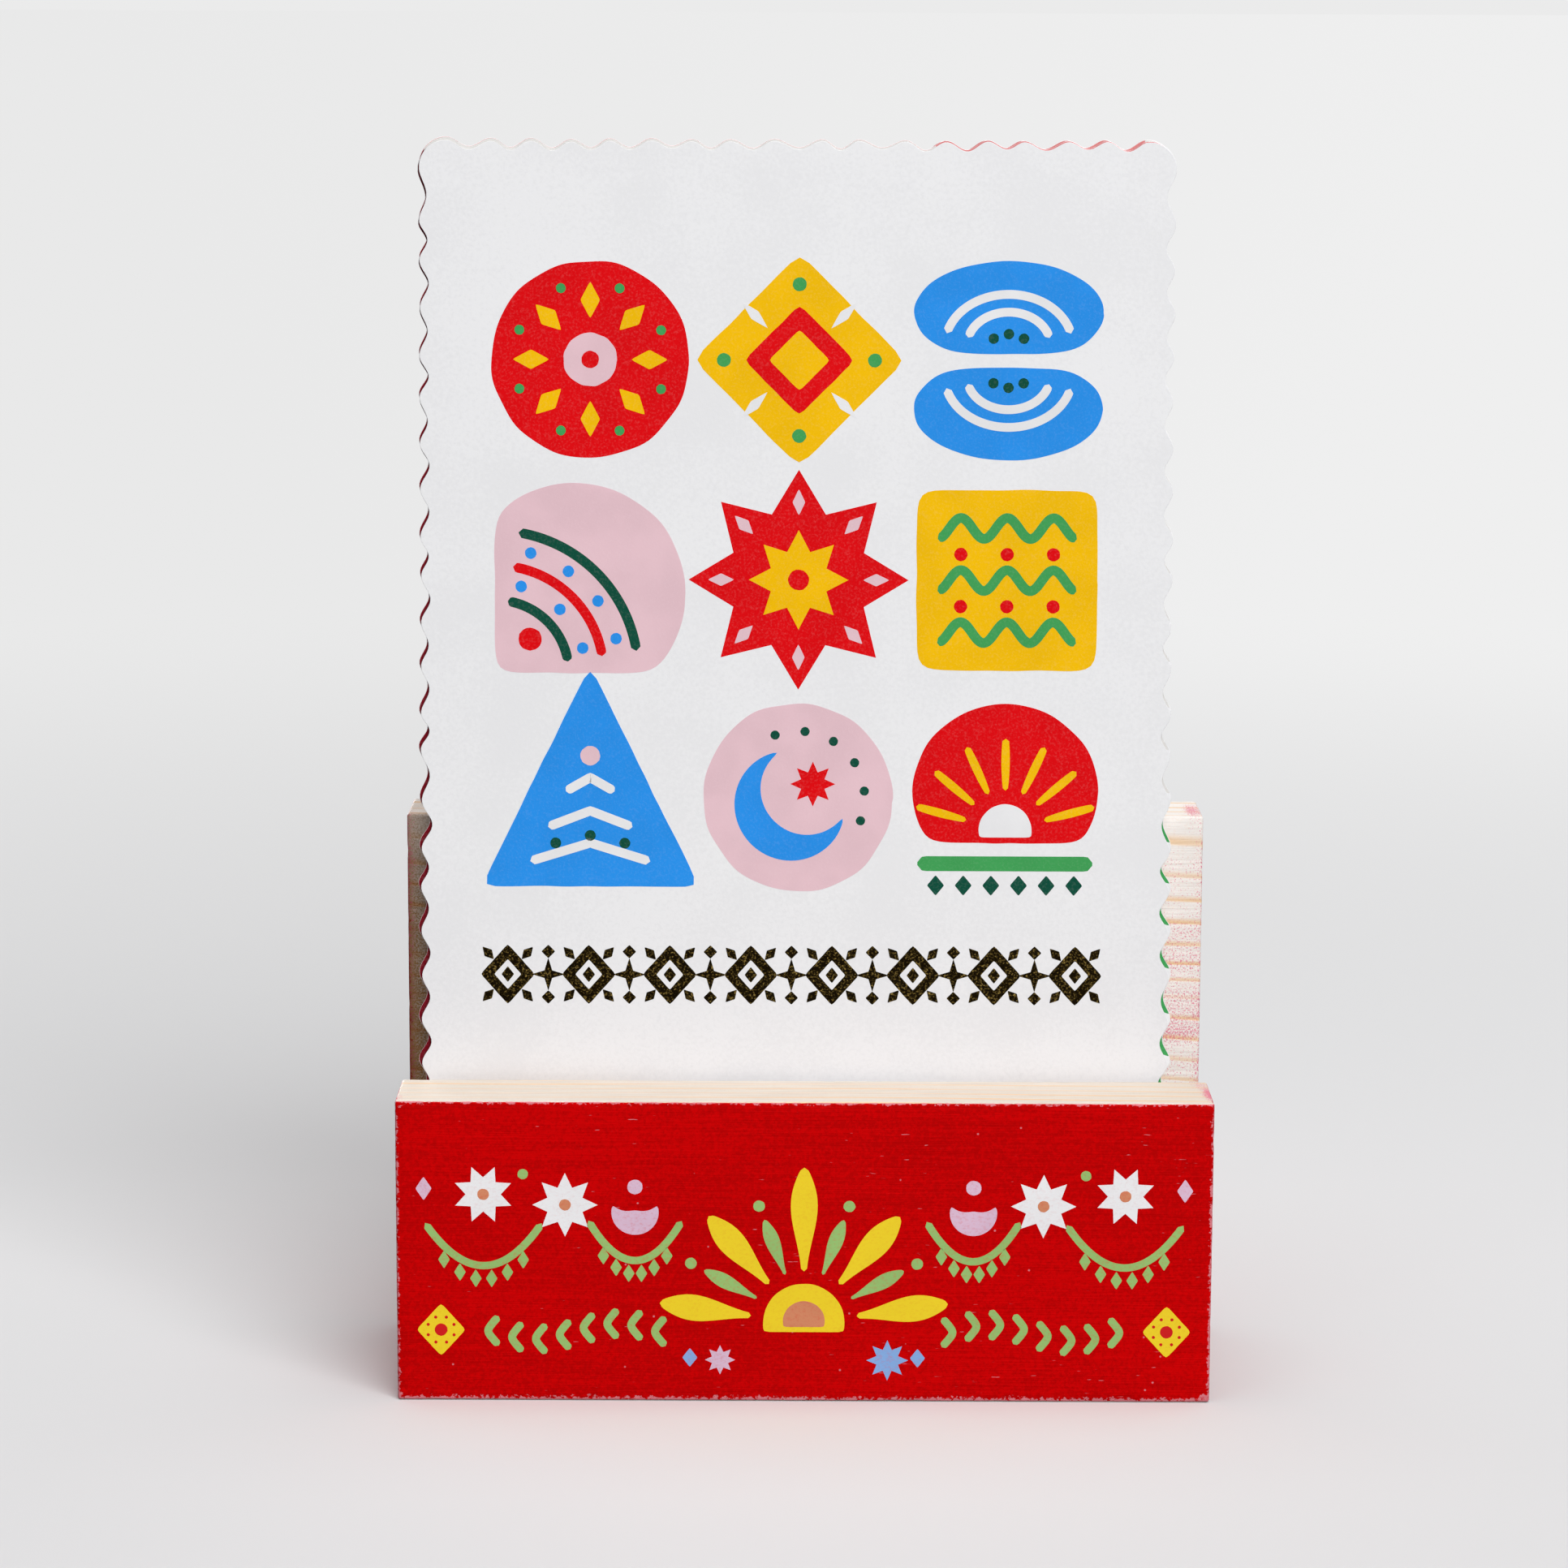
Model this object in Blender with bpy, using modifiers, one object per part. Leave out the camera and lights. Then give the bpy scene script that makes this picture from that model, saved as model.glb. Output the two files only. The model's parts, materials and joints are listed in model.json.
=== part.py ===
"""Desk calendar: a painted pine stand with a slot, and the pack of scalloped cards that leans in it.

Sizes are in metres. +X runs along the stand, -Y is the front and +Z is up. The origin is the
centre of the stand's footprint, on the surface that it stands on.
"""

import math

import bpy

# The stand: two upright boards of one stock, glued to a lower block that leaves the slot between them.
STAND_WIDTH = 0.140
BOARD_THICKNESS = 0.016
FRONT_BOARD_HEIGHT = 0.053
BACK_BOARD_HEIGHT = 0.097
SLOT_WIDTH = 0.016
SLOT_FLOOR_HEIGHT = 0.030
EDGE_ROUND = 0.0006

# The cards: one cover and one card for each month, all cut by the same die.
CARD_WIDTH = 0.130
CARD_HEIGHT = 0.184
CARD_THICKNESS = 0.0005
MONTH_CARDS = 12
CARD_CORNER_RADIUS = 0.0047
SCALLOP_DEPTH = 0.0016

# Lengths of the die's waves in millimetres, as measured: along the top from the left, and down the
# left and the right side. They are stretched a little to fit the sides.
TOP_WAVES = (7.6, 6.9, 6.9, 6.5, 7.3, 6.9, 6.5, 7.6, 8.2, 6.3, 8.0, 6.9, 7.2, 6.2, 7.6, 6.6, 7.2)
LEFT_WAVES = (9.0, 6.7, 8.1, 8.1, 7.2, 7.9, 7.7, 8.3, 6.6, 8.1, 7.5, 8.1)
LEFT_WAVES += (6.3, 8.8, 8.3, 6.7, 7.7, 7.7, 7.6, 7.7, 6.5, 6.5, 6.5)
RIGHT_WAVES = (9.5, 7.6, 7.6, 7.4, 7.6, 8.1, 7.3, 8.4, 7.0, 8.4, 6.9, 8.1)
RIGHT_WAVES += (7.3, 7.6, 8.7, 7.0, 7.4, 7.6, 8.0, 7.4, 6.6, 6.6, 6.5)

# The pack stands a little to the left of the stand's middle.
PACK_SHIFT = -0.00175

# Clearances between pieces that touch on the real thing.
GLUE_LINE = 0.0003
CARD_GAP = 0.0003
REST_GAP = 0.0003

# How finely the rounded shapes are faceted.
POINTS_PER_SCALLOP = 4
POINTS_PER_CORNER = 4
EDGE_SEGMENTS = 2
WELD_DISTANCE = 0.00001

CARD_COUNT = MONTH_CARDS + 1
PACK_THICKNESS = CARD_COUNT * CARD_THICKNESS + (CARD_COUNT - 1) * CARD_GAP

# Colour (linear), roughness and metallic value of each finish.
RED_PAINT = ((0.50, 0.001, 0.003, 1.0), 0.55, 0.0)
BARE_PINE = ((0.80, 0.66, 0.50, 1.0), 0.65, 0.0)
COVER_CARD = ((0.82, 0.82, 0.83, 1.0), 0.60, 0.0)
MONTH_CARD = ((0.78, 0.77, 0.74, 1.0), 0.60, 0.0)


def clear_scene():
    """Removes every object, so that the script can run again in an open file."""
    for item in list(bpy.data.objects):
        bpy.data.objects.remove(item, do_unlink=True)


def new_collection(name):
    """Makes the collection that holds the calendar's pieces."""
    collection = bpy.data.collections.new(name)
    bpy.context.scene.collection.children.link(collection)
    return collection


def finish_material(name, finish):
    """Makes one piece's own material from a finish: colour, roughness and metallic value."""
    colour, roughness, metallic = finish
    material = bpy.data.materials.new(name + "_finish")
    material.use_nodes = True
    shader = material.node_tree.nodes["Principled BSDF"]
    shader.inputs["Base Color"].default_value = colour
    shader.inputs["Roughness"].default_value = roughness
    shader.inputs["Metallic"].default_value = metallic
    return material


def add_board(collection, name, depth, height, middle_y, finish):
    """Adds a board as wide as the stand that stands on the ground, with softly rounded edges."""
    bpy.ops.mesh.primitive_cube_add(size=1.0)
    board = bpy.context.object
    board.name = name
    board.data.name = name
    board.scale = (STAND_WIDTH, depth, height)
    bpy.ops.object.transform_apply(location=False, rotation=False, scale=True)
    board.location = (0.0, middle_y, height / 2)
    rounding = board.modifiers.new("rounded_edges", "BEVEL")
    rounding.width = EDGE_ROUND
    rounding.segments = EDGE_SEGMENTS
    rounding.limit_method = "ANGLE"
    board.data.materials.append(finish_material(name, finish))
    for other in list(board.users_collection):
        other.objects.unlink(board)
    collection.objects.link(board)
    return board


def scalloped_side(start, along, outward, length, waves):
    """Points of one wavy side, from start. Each wave begins and ends on a crest that lies on the
    card's outer line, and its trough is SCALLOP_DEPTH deep. Each crest and trough is cut flat
    between two points, so that a few points keep the wave's full depth."""
    flat = math.cos(math.pi / POINTS_PER_SCALLOP)
    stretch = length / sum(waves)
    points = []
    crest = 0.0
    for wave in waves:
        for step in range(POINTS_PER_SCALLOP):
            share = (step + 0.5) / POINTS_PER_SCALLOP
            inset = SCALLOP_DEPTH * (1 - math.cos(2 * math.pi * share) / flat) / 2
            place = (crest + wave * share) * stretch
            points.append(
                (
                    start[0] + along[0] * place - outward[0] * inset,
                    start[1] + along[1] * place - outward[1] * inset,
                )
            )
        crest += wave
    return points


def rounded_corner(centre, start_angle):
    """Points inside the quarter circle that turns one corner, anticlockwise from start_angle."""
    points = []
    for step in range(1, POINTS_PER_CORNER):
        angle = start_angle + math.pi / 2 * step / POINTS_PER_CORNER
        points.append(
            (
                centre[0] + CARD_CORNER_RADIUS * math.cos(angle),
                centre[1] + CARD_CORNER_RADIUS * math.sin(angle),
            )
        )
    return points


def card_outline():
    """The die's outline, anticlockwise from the lower left, with the bottom edge on y = 0."""
    half = CARD_WIDTH / 2
    radius = CARD_CORNER_RADIUS
    across = CARD_WIDTH - 2 * radius
    up = CARD_HEIGHT - 2 * radius
    right = half - radius
    top = CARD_HEIGHT - radius
    points = scalloped_side((-right, 0.0), (1, 0), (0, -1), across, TOP_WAVES)
    points += rounded_corner((right, radius), -math.pi / 2)
    points += scalloped_side((half, radius), (0, 1), (1, 0), up, RIGHT_WAVES[::-1])
    points += rounded_corner((right, top), 0.0)
    points += scalloped_side((right, CARD_HEIGHT), (-1, 0), (0, 1), across, TOP_WAVES[::-1])
    points += rounded_corner((-right, top), math.pi / 2)
    points += scalloped_side((-half, top), (0, -1), (-1, 0), up, LEFT_WAVES)
    points += rounded_corner((-right, radius), math.pi)
    return points


def card_curve():
    """The flat outline that every card shares, filled and half a thickness deep on each side."""
    curve = bpy.data.curves.new("card_outline", "CURVE")
    curve.dimensions = "2D"
    curve.fill_mode = "BOTH"
    curve.extrude = CARD_THICKNESS / 2
    outline = card_outline()
    spline = curve.splines.new("POLY")
    spline.points.add(len(outline) - 1)
    for point, (x, y) in zip(spline.points, outline):
        point.co = (x, y, 0.0, 1.0)
    spline.use_cyclic_u = True
    return curve


def pack_lean():
    """The angle at which the pack leans back. Its rear lower corner stands on the slot's floor, its
    front lower corner meets the front board, and its back lies on the back board's rounded top
    edge. The angle appears on both sides of that balance, so it is found by repeating it."""
    reach = SLOT_WIDTH + EDGE_ROUND - REST_GAP
    rise = BACK_BOARD_HEIGHT - EDGE_ROUND - SLOT_FLOOR_HEIGHT - REST_GAP
    lean = 0.0
    for _ in range(30):
        free = (reach - PACK_THICKNESS * math.cos(lean)) * math.cos(lean)
        lean = math.asin((free - EDGE_ROUND - REST_GAP) / rise)
    return lean


def add_pack_frame(collection):
    """Adds the empty at the pack's front lower edge. Its Y axis is the way the cards lift out."""
    lean = pack_lean()
    front_edge_y = -SLOT_WIDTH / 2 + REST_GAP
    front_edge_z = SLOT_FLOOR_HEIGHT + REST_GAP + PACK_THICKNESS * math.sin(lean)
    frame = bpy.data.objects.new("card_pack", None)
    frame.empty_display_size = CARD_WIDTH / 4
    frame.location = (PACK_SHIFT, front_edge_y, front_edge_z)
    frame.rotation_euler = (math.pi / 2 - lean, 0.0, 0.0)
    collection.objects.link(frame)
    return frame


def add_card(collection, frame, curve, name, place, finish):
    """Adds the card that is number place from the front of the pack, where the cover is number 0."""
    card = bpy.data.objects.new(name, curve.copy())
    card.data.name = name
    card.parent = frame
    card.location = (0.0, 0.0, -(place * (CARD_THICKNESS + CARD_GAP) + CARD_THICKNESS / 2))
    closing = card.modifiers.new("closed_edges", "WELD")
    closing.merge_threshold = WELD_DISTANCE
    card.data.materials.append(finish_material(name, finish))
    collection.objects.link(card)
    return card


def build_stand(collection):
    """Adds the three glued pieces of the stand."""
    board_offset = (SLOT_WIDTH + BOARD_THICKNESS) / 2
    add_board(
        collection, "front_board", BOARD_THICKNESS, FRONT_BOARD_HEIGHT, -board_offset, RED_PAINT
    )
    add_board(
        collection, "spacer_block", SLOT_WIDTH - 2 * GLUE_LINE, SLOT_FLOOR_HEIGHT, 0.0, BARE_PINE
    )
    add_board(
        collection, "back_board", BOARD_THICKNESS, BACK_BOARD_HEIGHT, board_offset, BARE_PINE
    )


def build_cards(collection):
    """Adds the cover and the month cards behind it."""
    frame = add_pack_frame(collection)
    curve = card_curve()
    add_card(collection, frame, curve, "cover_card", 0, COVER_CARD)
    for month in range(1, MONTH_CARDS + 1):
        add_card(collection, frame, curve, f"month_card_{month:02d}", month, MONTH_CARD)
    bpy.data.curves.remove(curve)


def main():
    clear_scene()
    collection = new_collection("desk_calendar")
    build_stand(collection)
    build_cards(collection)
    bpy.context.view_layer.update()


main()
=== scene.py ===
"""The looks of a desk calendar: a painted pine stand and the pack of scalloped cards that leans in it.

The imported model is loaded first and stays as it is. Every piece made here takes its size and place
from it. Metres are used for the frame, and millimetres for what is drawn on a card or a board.
"""

import json
import math
from functools import cache, partial

import bmesh
import bpy
import numpy as np
from bpy.props import FloatProperty, FloatVectorProperty, PointerProperty
from mathutils import Euler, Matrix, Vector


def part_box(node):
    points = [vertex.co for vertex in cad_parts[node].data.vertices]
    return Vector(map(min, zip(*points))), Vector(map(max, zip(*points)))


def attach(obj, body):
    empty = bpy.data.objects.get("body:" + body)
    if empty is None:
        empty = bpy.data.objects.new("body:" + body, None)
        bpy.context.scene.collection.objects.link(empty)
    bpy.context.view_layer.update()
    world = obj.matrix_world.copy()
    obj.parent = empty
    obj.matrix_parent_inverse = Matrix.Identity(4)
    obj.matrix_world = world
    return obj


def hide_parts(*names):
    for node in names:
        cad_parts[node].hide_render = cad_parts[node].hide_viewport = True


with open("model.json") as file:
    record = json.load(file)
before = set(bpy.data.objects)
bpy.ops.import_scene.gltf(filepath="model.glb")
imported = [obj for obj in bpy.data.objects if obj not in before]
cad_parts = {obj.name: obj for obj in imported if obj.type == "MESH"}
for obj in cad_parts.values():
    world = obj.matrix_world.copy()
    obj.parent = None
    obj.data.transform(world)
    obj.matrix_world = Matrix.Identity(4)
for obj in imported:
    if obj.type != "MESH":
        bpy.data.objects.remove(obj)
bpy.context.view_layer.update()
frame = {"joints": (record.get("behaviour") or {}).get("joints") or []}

bl_info = {
    "name": "Desk Calendar Looks",
    "version": (1, 0, 0),
    "blender": (4, 5, 0),
    "location": "3D View > Sidebar > Calendar",
    "description": "Builds the finished look of a desk calendar around its packed model",
    "category": "Object",
}

MM = 0.001
MONTH_DAYS = (31, 28, 31, 30, 31, 30, 31, 31, 30, 31, 30, 31)
COVER = "cover_card"
MONTH_CARDS = [f"month_card_{month:02d}" for month in range(1, len(MONTH_DAYS) + 1)]

MONTH_PARTS = ("border", "shade", "blush", "accent", "pale", "band", "white", "numbers", "rules")

# Inks of the month cards, which take them in turn: border, its left side as painted shade and its
# # top side as painted light, leaves, band behind the number, and lines.
STYLED_PARTS = ("border", "shade", "blush", "accent", "band", "rules")
MONTH_STYLES = (
    ("red", "maroon", "rose", "green", "blue", "red"),
    ("cream", "maroon", "rose", "green", "red", "pink"),
    ("blue", "dark_green", "cream", "yellow", "yellow", "blue"),
    ("yellow", "maroon", "pink", "red", "green", "yellow"),
    ("green", "maroon", "cream", "pink", "red", "green"),
)
# Heights of the ink above the surface it is printed on, in millimetres, one for each layer.
INK_FOOT = -0.04
INK_LAYERS = (0.015, 0.030, 0.045)

# Lengths of the die's waves in millimetres, measured in the photograph: along the top from the left,
# and down the left and the right side. The stand hides the last three of each side, so those are
# guessed.
TOP_WAVES = (7.6, 6.9, 6.9, 6.5, 7.3, 6.9, 6.5, 7.6, 8.2, 6.3, 8.0, 6.9, 7.2, 6.2, 7.6, 6.6, 7.2)
LEFT_WAVES = (9.0, 6.7, 8.1, 8.1, 7.2, 7.9, 7.7, 8.3, 6.6, 8.1, 7.5, 8.1)
LEFT_WAVES += (6.3, 8.8, 8.3, 6.7, 7.7, 7.7, 7.6, 7.7, 6.5, 6.5, 6.5)
RIGHT_WAVES = (9.5, 7.6, 7.6, 7.4, 7.6, 8.1, 7.3, 8.4, 7.0, 8.4, 6.9, 8.1)
RIGHT_WAVES += (7.3, 7.6, 8.7, 7.0, 7.4, 7.6, 8.0, 7.4, 6.6, 6.6, 6.5)

# How many points the die's outline has on each wave and on each corner.
WAVE_POINTS = 14
CORNER_POINTS = 10

# How far the cards lie from true in the pack, as (across, up, turn) in millimetres and degrees. The
# cover and the first two month cards have slips of their own, and the others keep within a reach.
CHOSEN_SLIPS = ((0.0, 0.0, 0.0), (-0.36, 0.42, -0.22), (0.20, 0.12, 0.37))
SLIP_REACH = (0.16, 0.10, 0.06)

# Distance between a number's digits, as a share of their height.
DIGIT_SPACING = 0.60

# How far a month card's border print stays inside the cut edge, for the border itself and for the
# sides over it, how far the sides reach past the border, and the height of a leaf, in millimetres.
BORDER_INSET = 0.06
SIDE_INSET = 0.08
SIDE_OVERLAP = 0.1
LEAF_DEPTH = 3.4

# A card's cut edge in millimetres: its rounding, and the flat rim that follows the outline inside it.
CUT_ROUND = 0.05
CARD_RIM = 6.0

# The photograph is square. Its side in pixels and the fitted focal length set the lens. The camera's
# place is in metres, and its angles are pitch, turn and roll in degrees.
PHOTO_SIDE = 1932
FOCAL_PIXELS = 5800
SENSOR_WIDTH = 36.0
CAMERA_PLACE = (-0.00324, -0.80637, 0.24266)
CAMERA_ANGLES = (9.76, 0.036, 0.205)

# The floor's half side and the height that the lamps face, in metres.
FLOOR_REACH = 30.0
AIM_HEIGHT = 0.08

# Map Range's setting for a soft step, which eases in and out.
SOFT_STEP = {"interpolation_type": "SMOOTHSTEP"}


def linear(hex_colour):
    """Turns an sRGB colour written as six hex digits into linear red, green and blue."""
    parts = [int(hex_colour[i : i + 2], 16) / 255 for i in (0, 2, 4)]
    return [c / 12.92 if c <= 0.04045 else ((c + 0.055) / 1.055) ** 2.4 for c in parts]


def colour_property(name, description, hex_colour):
    """A colour that the user can change, with its default written as an sRGB hex value."""
    looks = {"subtype": "COLOR", "size": 3, "min": 0.0, "max": 1.0}
    return FloatVectorProperty(
        name=name, description=description, default=linear(hex_colour), **looks
    )


def length_property(name, description, default, low, high):
    """A length in metres that the user can change."""
    limits = {"min": low, "max": high}
    return FloatProperty(
        name=name, description=description, default=default, unit="LENGTH", **limits
    )


def power_property(name, description, default):
    """A lamp's power in watts that the user can change."""
    return FloatProperty(
        name=name, description=description, default=default, unit="POWER", min=0.0
    )


class StandLooks(bpy.types.PropertyGroup):
    """Sizes and colours of the pine stand."""

    edge_radius: length_property(
        "Edge radius", "Rounding of the boards' edges", 0.0005, 0.0002, 0.002
    )
    edge_wear: length_property(
        "Edge wear", "Depth of the small dents along the boards' edges", 0.00014, 0.0, 0.0005
    )
    ring_spacing: length_property(
        "Ring spacing", "Distance between two growth rings of the pine", 0.0033, 0.001, 0.01
    )
    paint: colour_property("Paint", "Red paint of the stand", "DA0003")
    paint_dark: colour_property("Paint, dark", "Where the paint lies thin over late wood", "C00002")
    paint_worn: colour_property("Worn paint", "Scratches and chips in the paint", "E88E98")
    # One pine in two tones: the front board's wood is darker as painted shade against the strong light
    # on its top, and the back board's is paler as painted light for its less lit front face.
    front_wood: colour_property("Front board's wood", "Pale wood of the front board", "E7DACB")
    back_wood: colour_property("Back board's wood", "Pale wood of the back board", "FDF6F0")
    late_wood: colour_property("Late wood", "Orange lines of the growth rings", "F2CC9E")
    # Painted shade: this brown darkens the back board's left end, where the cards' shadow falls.
    stained_wood: colour_property("Stained wood", "Brown of the back board's left end", "9C7547")
    overspray: colour_property("Overspray", "Thin paint that strayed onto bare wood", "E2688A")


class PrintLooks(bpy.types.PropertyGroup):
    """Colours of the inks, the foil and the card."""

    card: colour_property("Card", "Uncoated white card", "F3F3F5")
    # Painted shade: this colour darkens the card's lower part, down by the stand.
    card_tone: colour_property("Card tone", "Tone of the card's lower part", "F2F2F4")
    red: colour_property("Red ink", "Red of the printed shapes", "E8050F")
    yellow: colour_property("Yellow ink", "Yellow of the printed shapes", "FFC604")
    blue: colour_property("Blue ink", "Blue of the printed shapes", "2C97F4")
    pink: colour_property("Pink ink", "Pink of the printed shapes", "EFCAD3")
    green: colour_property("Green ink", "Green of the small motifs", "45A65B")
    dark_green: colour_property("Dark green ink", "Dark green of the small motifs", "0B4F3D")
    # Painted shade: the dark left side of the month borders.
    cream: colour_property("Cream ink", "Palest motifs of the borders", "E2E0DD")
    maroon: colour_property("Maroon ink", "Dark side of the borders", "74091A")
    # Painted light: the soft red of the month borders' lit tops.
    rose: colour_property("Rose ink", "Soft red of the borders' tops", "DC8787")
    black: colour_property("Black ink", "Ink of the day numbers", "2A2A2C")
    # The foil's two colours are painted: a reflection of a dark room over its own dark gold, and gold
    # glints.
    foil_dark: colour_property("Foil, dark", "Foil where it mirrors the dark room", "120C04")
    foil_light: colour_property("Foil, light", "Foil where a crease catches light", "947B40")
    rail_white: colour_property("Rail white", "White print on the red board", "FDFCFE")
    rail_yellow: colour_property("Rail yellow", "Yellow print on the red board", "FFDE20")
    rail_green: colour_property("Rail green", "Green print on the red board", "9FCB76")
    rail_lilac: colour_property("Rail lilac", "Lilac print on the red board", "EBC8E0")
    rail_blue: colour_property("Rail blue", "Blue print on the red board", "8FBAF4")
    rail_orange: colour_property("Rail orange", "Orange dots on the red board", "E19068")


class CardLooks(bpy.types.PropertyGroup):
    """Sizes of the die-cut cards and what is printed on them."""

    scallop_depth: length_property(
        "Scallop depth", "Depth of the waves along the card's edge", 0.0016, 0.0, 0.004
    )
    corner_radius: length_property(
        "Corner radius", "Radius of the card's rounded corners", 0.0047, 0.001, 0.01
    )
    border_width: length_property(
        "Border width", "Width of the printed border of a month card", 0.0042, 0.001, 0.01
    )


class StageLooks(bpy.types.PropertyGroup):
    """Colours and strength of the floor and the lights."""

    floor: colour_property("Floor", "Pale paper floor, as it is seen", "E9E9EA")
    floor_bounce: colour_property("Floor bounce", "Floor colour that lights the calendar", "757575")
    backdrop: colour_property("Backdrop", "Pale background far behind", "EBEBEB")
    key_power: power_property("Key light", "Power of the large soft light on the right", 155.0)
    top_power: power_property("Top light", "Power of the large soft light above", 104.0)
    back_power: power_property(
        "Back light", "Power of the soft light behind, which leaves the floor out", 80.0
    )
    fill_strength: FloatProperty(
        name="Fill light",
        description="Strength of the even light from all around",
        default=0.05,
        min=0.0,
    )


# Meshes


def wobble(x, y=0.0, seed=0.0):
    """A smooth made-up unevenness from -1 to 1: a mean of five sines whose waves don't repeat
    together."""
    waves = ((1.0, 0.7, 0.3), (1.9, -1.3, 1.7), (3.1, 2.3, 4.1), (4.7, -3.7, 2.9), (6.3, 5.1, 5.3))
    return sum(np.sin(f * x + g * y + seed * h + h) for f, g, h in waves) / len(waves)


def make_object(name, vertices, faces, material, smooth=False):
    """Puts whole arrays of points and faces into a new mesh object, with its faces turned outwards."""
    mesh = bpy.data.meshes.new(name)
    mesh.from_pydata(np.asarray(vertices).tolist(), [], faces)
    shape = bmesh.new()
    shape.from_mesh(mesh)
    bmesh.ops.recalc_face_normals(shape, faces=shape.faces[:])
    shape.to_mesh(mesh)
    shape.free()
    if smooth:
        mesh.shade_smooth()
        mesh.set_sharp_from_angle(angle=math.radians(35))
    piece = bpy.data.objects.new(name, mesh)
    bpy.context.scene.collection.objects.link(piece)
    mesh.materials.append(material)
    return piece


def strip_faces(rings, count, offset=0, closed=True):
    """Quads between neighbouring rings of count points each, as one array."""
    here = np.arange(count if closed else count - 1)
    there = (here + 1) % count
    rows = np.arange(rings - 1)[:, None] * count + offset
    quads = np.stack(
        [rows + here, rows + there, rows + count + there, rows + count + here], axis=-1
    )
    return quads.reshape(-1, 4)


def raised(outline, level):
    """Flat points (across, up) at one level, as (across, up, out)."""
    return np.column_stack([outline, np.full(len(outline), level)])


def fan_faces(count, first, pole):
    """Triangles from one pole to a ring of count points that starts at first."""
    here = np.arange(count)
    return np.column_stack([np.full(count, pole), first + here, first + (here + 1) % count])


class Sheet:
    """Gathers the closed thin plates that one ink prints, and makes them one mesh."""

    def __init__(self):
        self.points = []
        self.faces = []
        self.count = 0

    def add(self, points, *faces):
        """Adds one closed body: points in millimetres as (across, up, out), and its faces, as one
        array of corners for each number of corners."""
        self.points.append(points)
        self.faces += [corners + self.count for corners in faces]
        self.count += len(points)

    def plate(self, outline, layer=0, centre=None):
        """A thin plate whose outline is seen whole from its centre. Its profile runs from the middle
        of the top to the rim, down to the foot and back to the middle, carried round the outline."""
        middle = outline.mean(axis=0) if centre is None else centre
        high, count = INK_LAYERS[layer], len(outline)
        rims = raised(outline, high), raised(outline, INK_FOOT)
        points = np.vstack([[*middle, high], *rims, [*middle, INK_FOOT]])
        fan = fan_faces(count, 1, 0)
        base = fan_faces(count, 1 + count, 2 * count + 1)[:, [0, 2, 1]]
        self.add(points, fan, base, strip_faces(2, count, offset=1))

    def ribbon(self, path, width, layer=0, blunt=0.03):
        """A thin band along a path, with round ends: its half width is the square root of what is
        left to the end of the path, up to the full half width. blunt keeps a share of it at the
        ends."""
        steps = np.gradient(path, axis=0)
        lengths = np.hypot(steps[:, 0], steps[:, 1])
        normals = np.column_stack([-steps[:, 1], steps[:, 0]]) / lengths[:, None]
        travelled = np.concatenate([[0.0], np.cumsum(np.hypot(*np.diff(path, axis=0).T))])
        to_end = np.minimum(travelled, travelled[-1] - travelled)
        half = np.broadcast_to(np.asarray(width, float) / 2, to_end.shape)
        near = np.clip(to_end / np.maximum(half, 1e-6), 0.0, 1.0)
        half = half * np.maximum(np.sqrt(1 - (1 - near) ** 2), blunt)
        self.band(path + normals * half[:, None], path - normals * half[:, None], layer)

    def band(self, left, right, layer=0):
        """A thin open band between two lines with as many points each."""
        high, low = INK_LAYERS[layer], INK_FOOT
        corners = [(left, low), (left, high), (right, high), (right, low)]
        grid = np.stack([raised(side, level) for side, level in corners], axis=1)
        last = 4 * (len(left) - 1)
        ends = np.array([[3, 2, 1, 0], [last, last + 1, last + 2, last + 3]])
        self.add(grid.reshape(-1, 3), strip_faces(len(left), 4), ends)

    def ring(self, outer, inner, layer=0):
        """A closed band between two outlines with as many points each."""
        high, low = INK_LAYERS[layer], INK_FOOT
        rows = [(outer, low), (outer, high), (inner, high), (inner, low)]
        points = np.vstack([raised(outline, level) for outline, level in rows])
        self.add(points, strip_faces(5, len(outer)) % len(points))

    def build(self, name, material, place):
        """Makes the mesh, with place turning (across, up, out) in millimetres into the row frame."""
        faces = [face for corners in self.faces for face in corners.tolist()]
        return make_object(name, place(np.vstack(self.points)), faces, material)


def turned(points, degrees):
    """Turns points about their origin."""
    angle = math.radians(degrees)
    spin = np.array([[math.cos(angle), math.sin(angle)], [-math.sin(angle), math.cos(angle)]])
    return points @ spin


def spoke(radius, degrees):
    """The point at a radius and an angle from the origin."""
    return turned(np.array([[radius, 0.0]]), degrees)[0]


def polar(radius, count=96):
    """An outline from its radius as a function of the angle."""
    angle = np.arange(count) * 2 * np.pi / count
    reach = radius(angle)
    return np.column_stack([reach * np.cos(angle), reach * np.sin(angle)])


def hand_cut(sides=(), disc=None, softness=16, seed=0.0, rough=0.010, count=120):
    """A shape cut by hand: what lies inside straight cuts, given as (direction in degrees, distance),
    and inside a disc. The radius is a soft minimum of the distances to all of them along each ray,
    so corners come out rounded, and it wavers a little."""

    def radius(angle):
        total = np.zeros_like(angle)
        for direction, distance in sides:
            towards = np.cos(angle - math.radians(direction)) / distance
            total += np.maximum(towards, 0.0) ** softness
        if disc:
            total += (1.0 / disc) ** softness
        return total ** (-1.0 / softness) * (1 + rough * wobble(2 * angle, 0.0, seed + 1.0))

    return polar(radius, count)


def slab(half_width, half_height, softness, count):
    """A plain rectangle with softened corners, from half its width and half its height."""
    sides = [(0, half_width), (180, half_width), (90, half_height), (-90, half_height)]
    return hand_cut(sides, softness=softness, rough=0.0, count=count)


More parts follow.
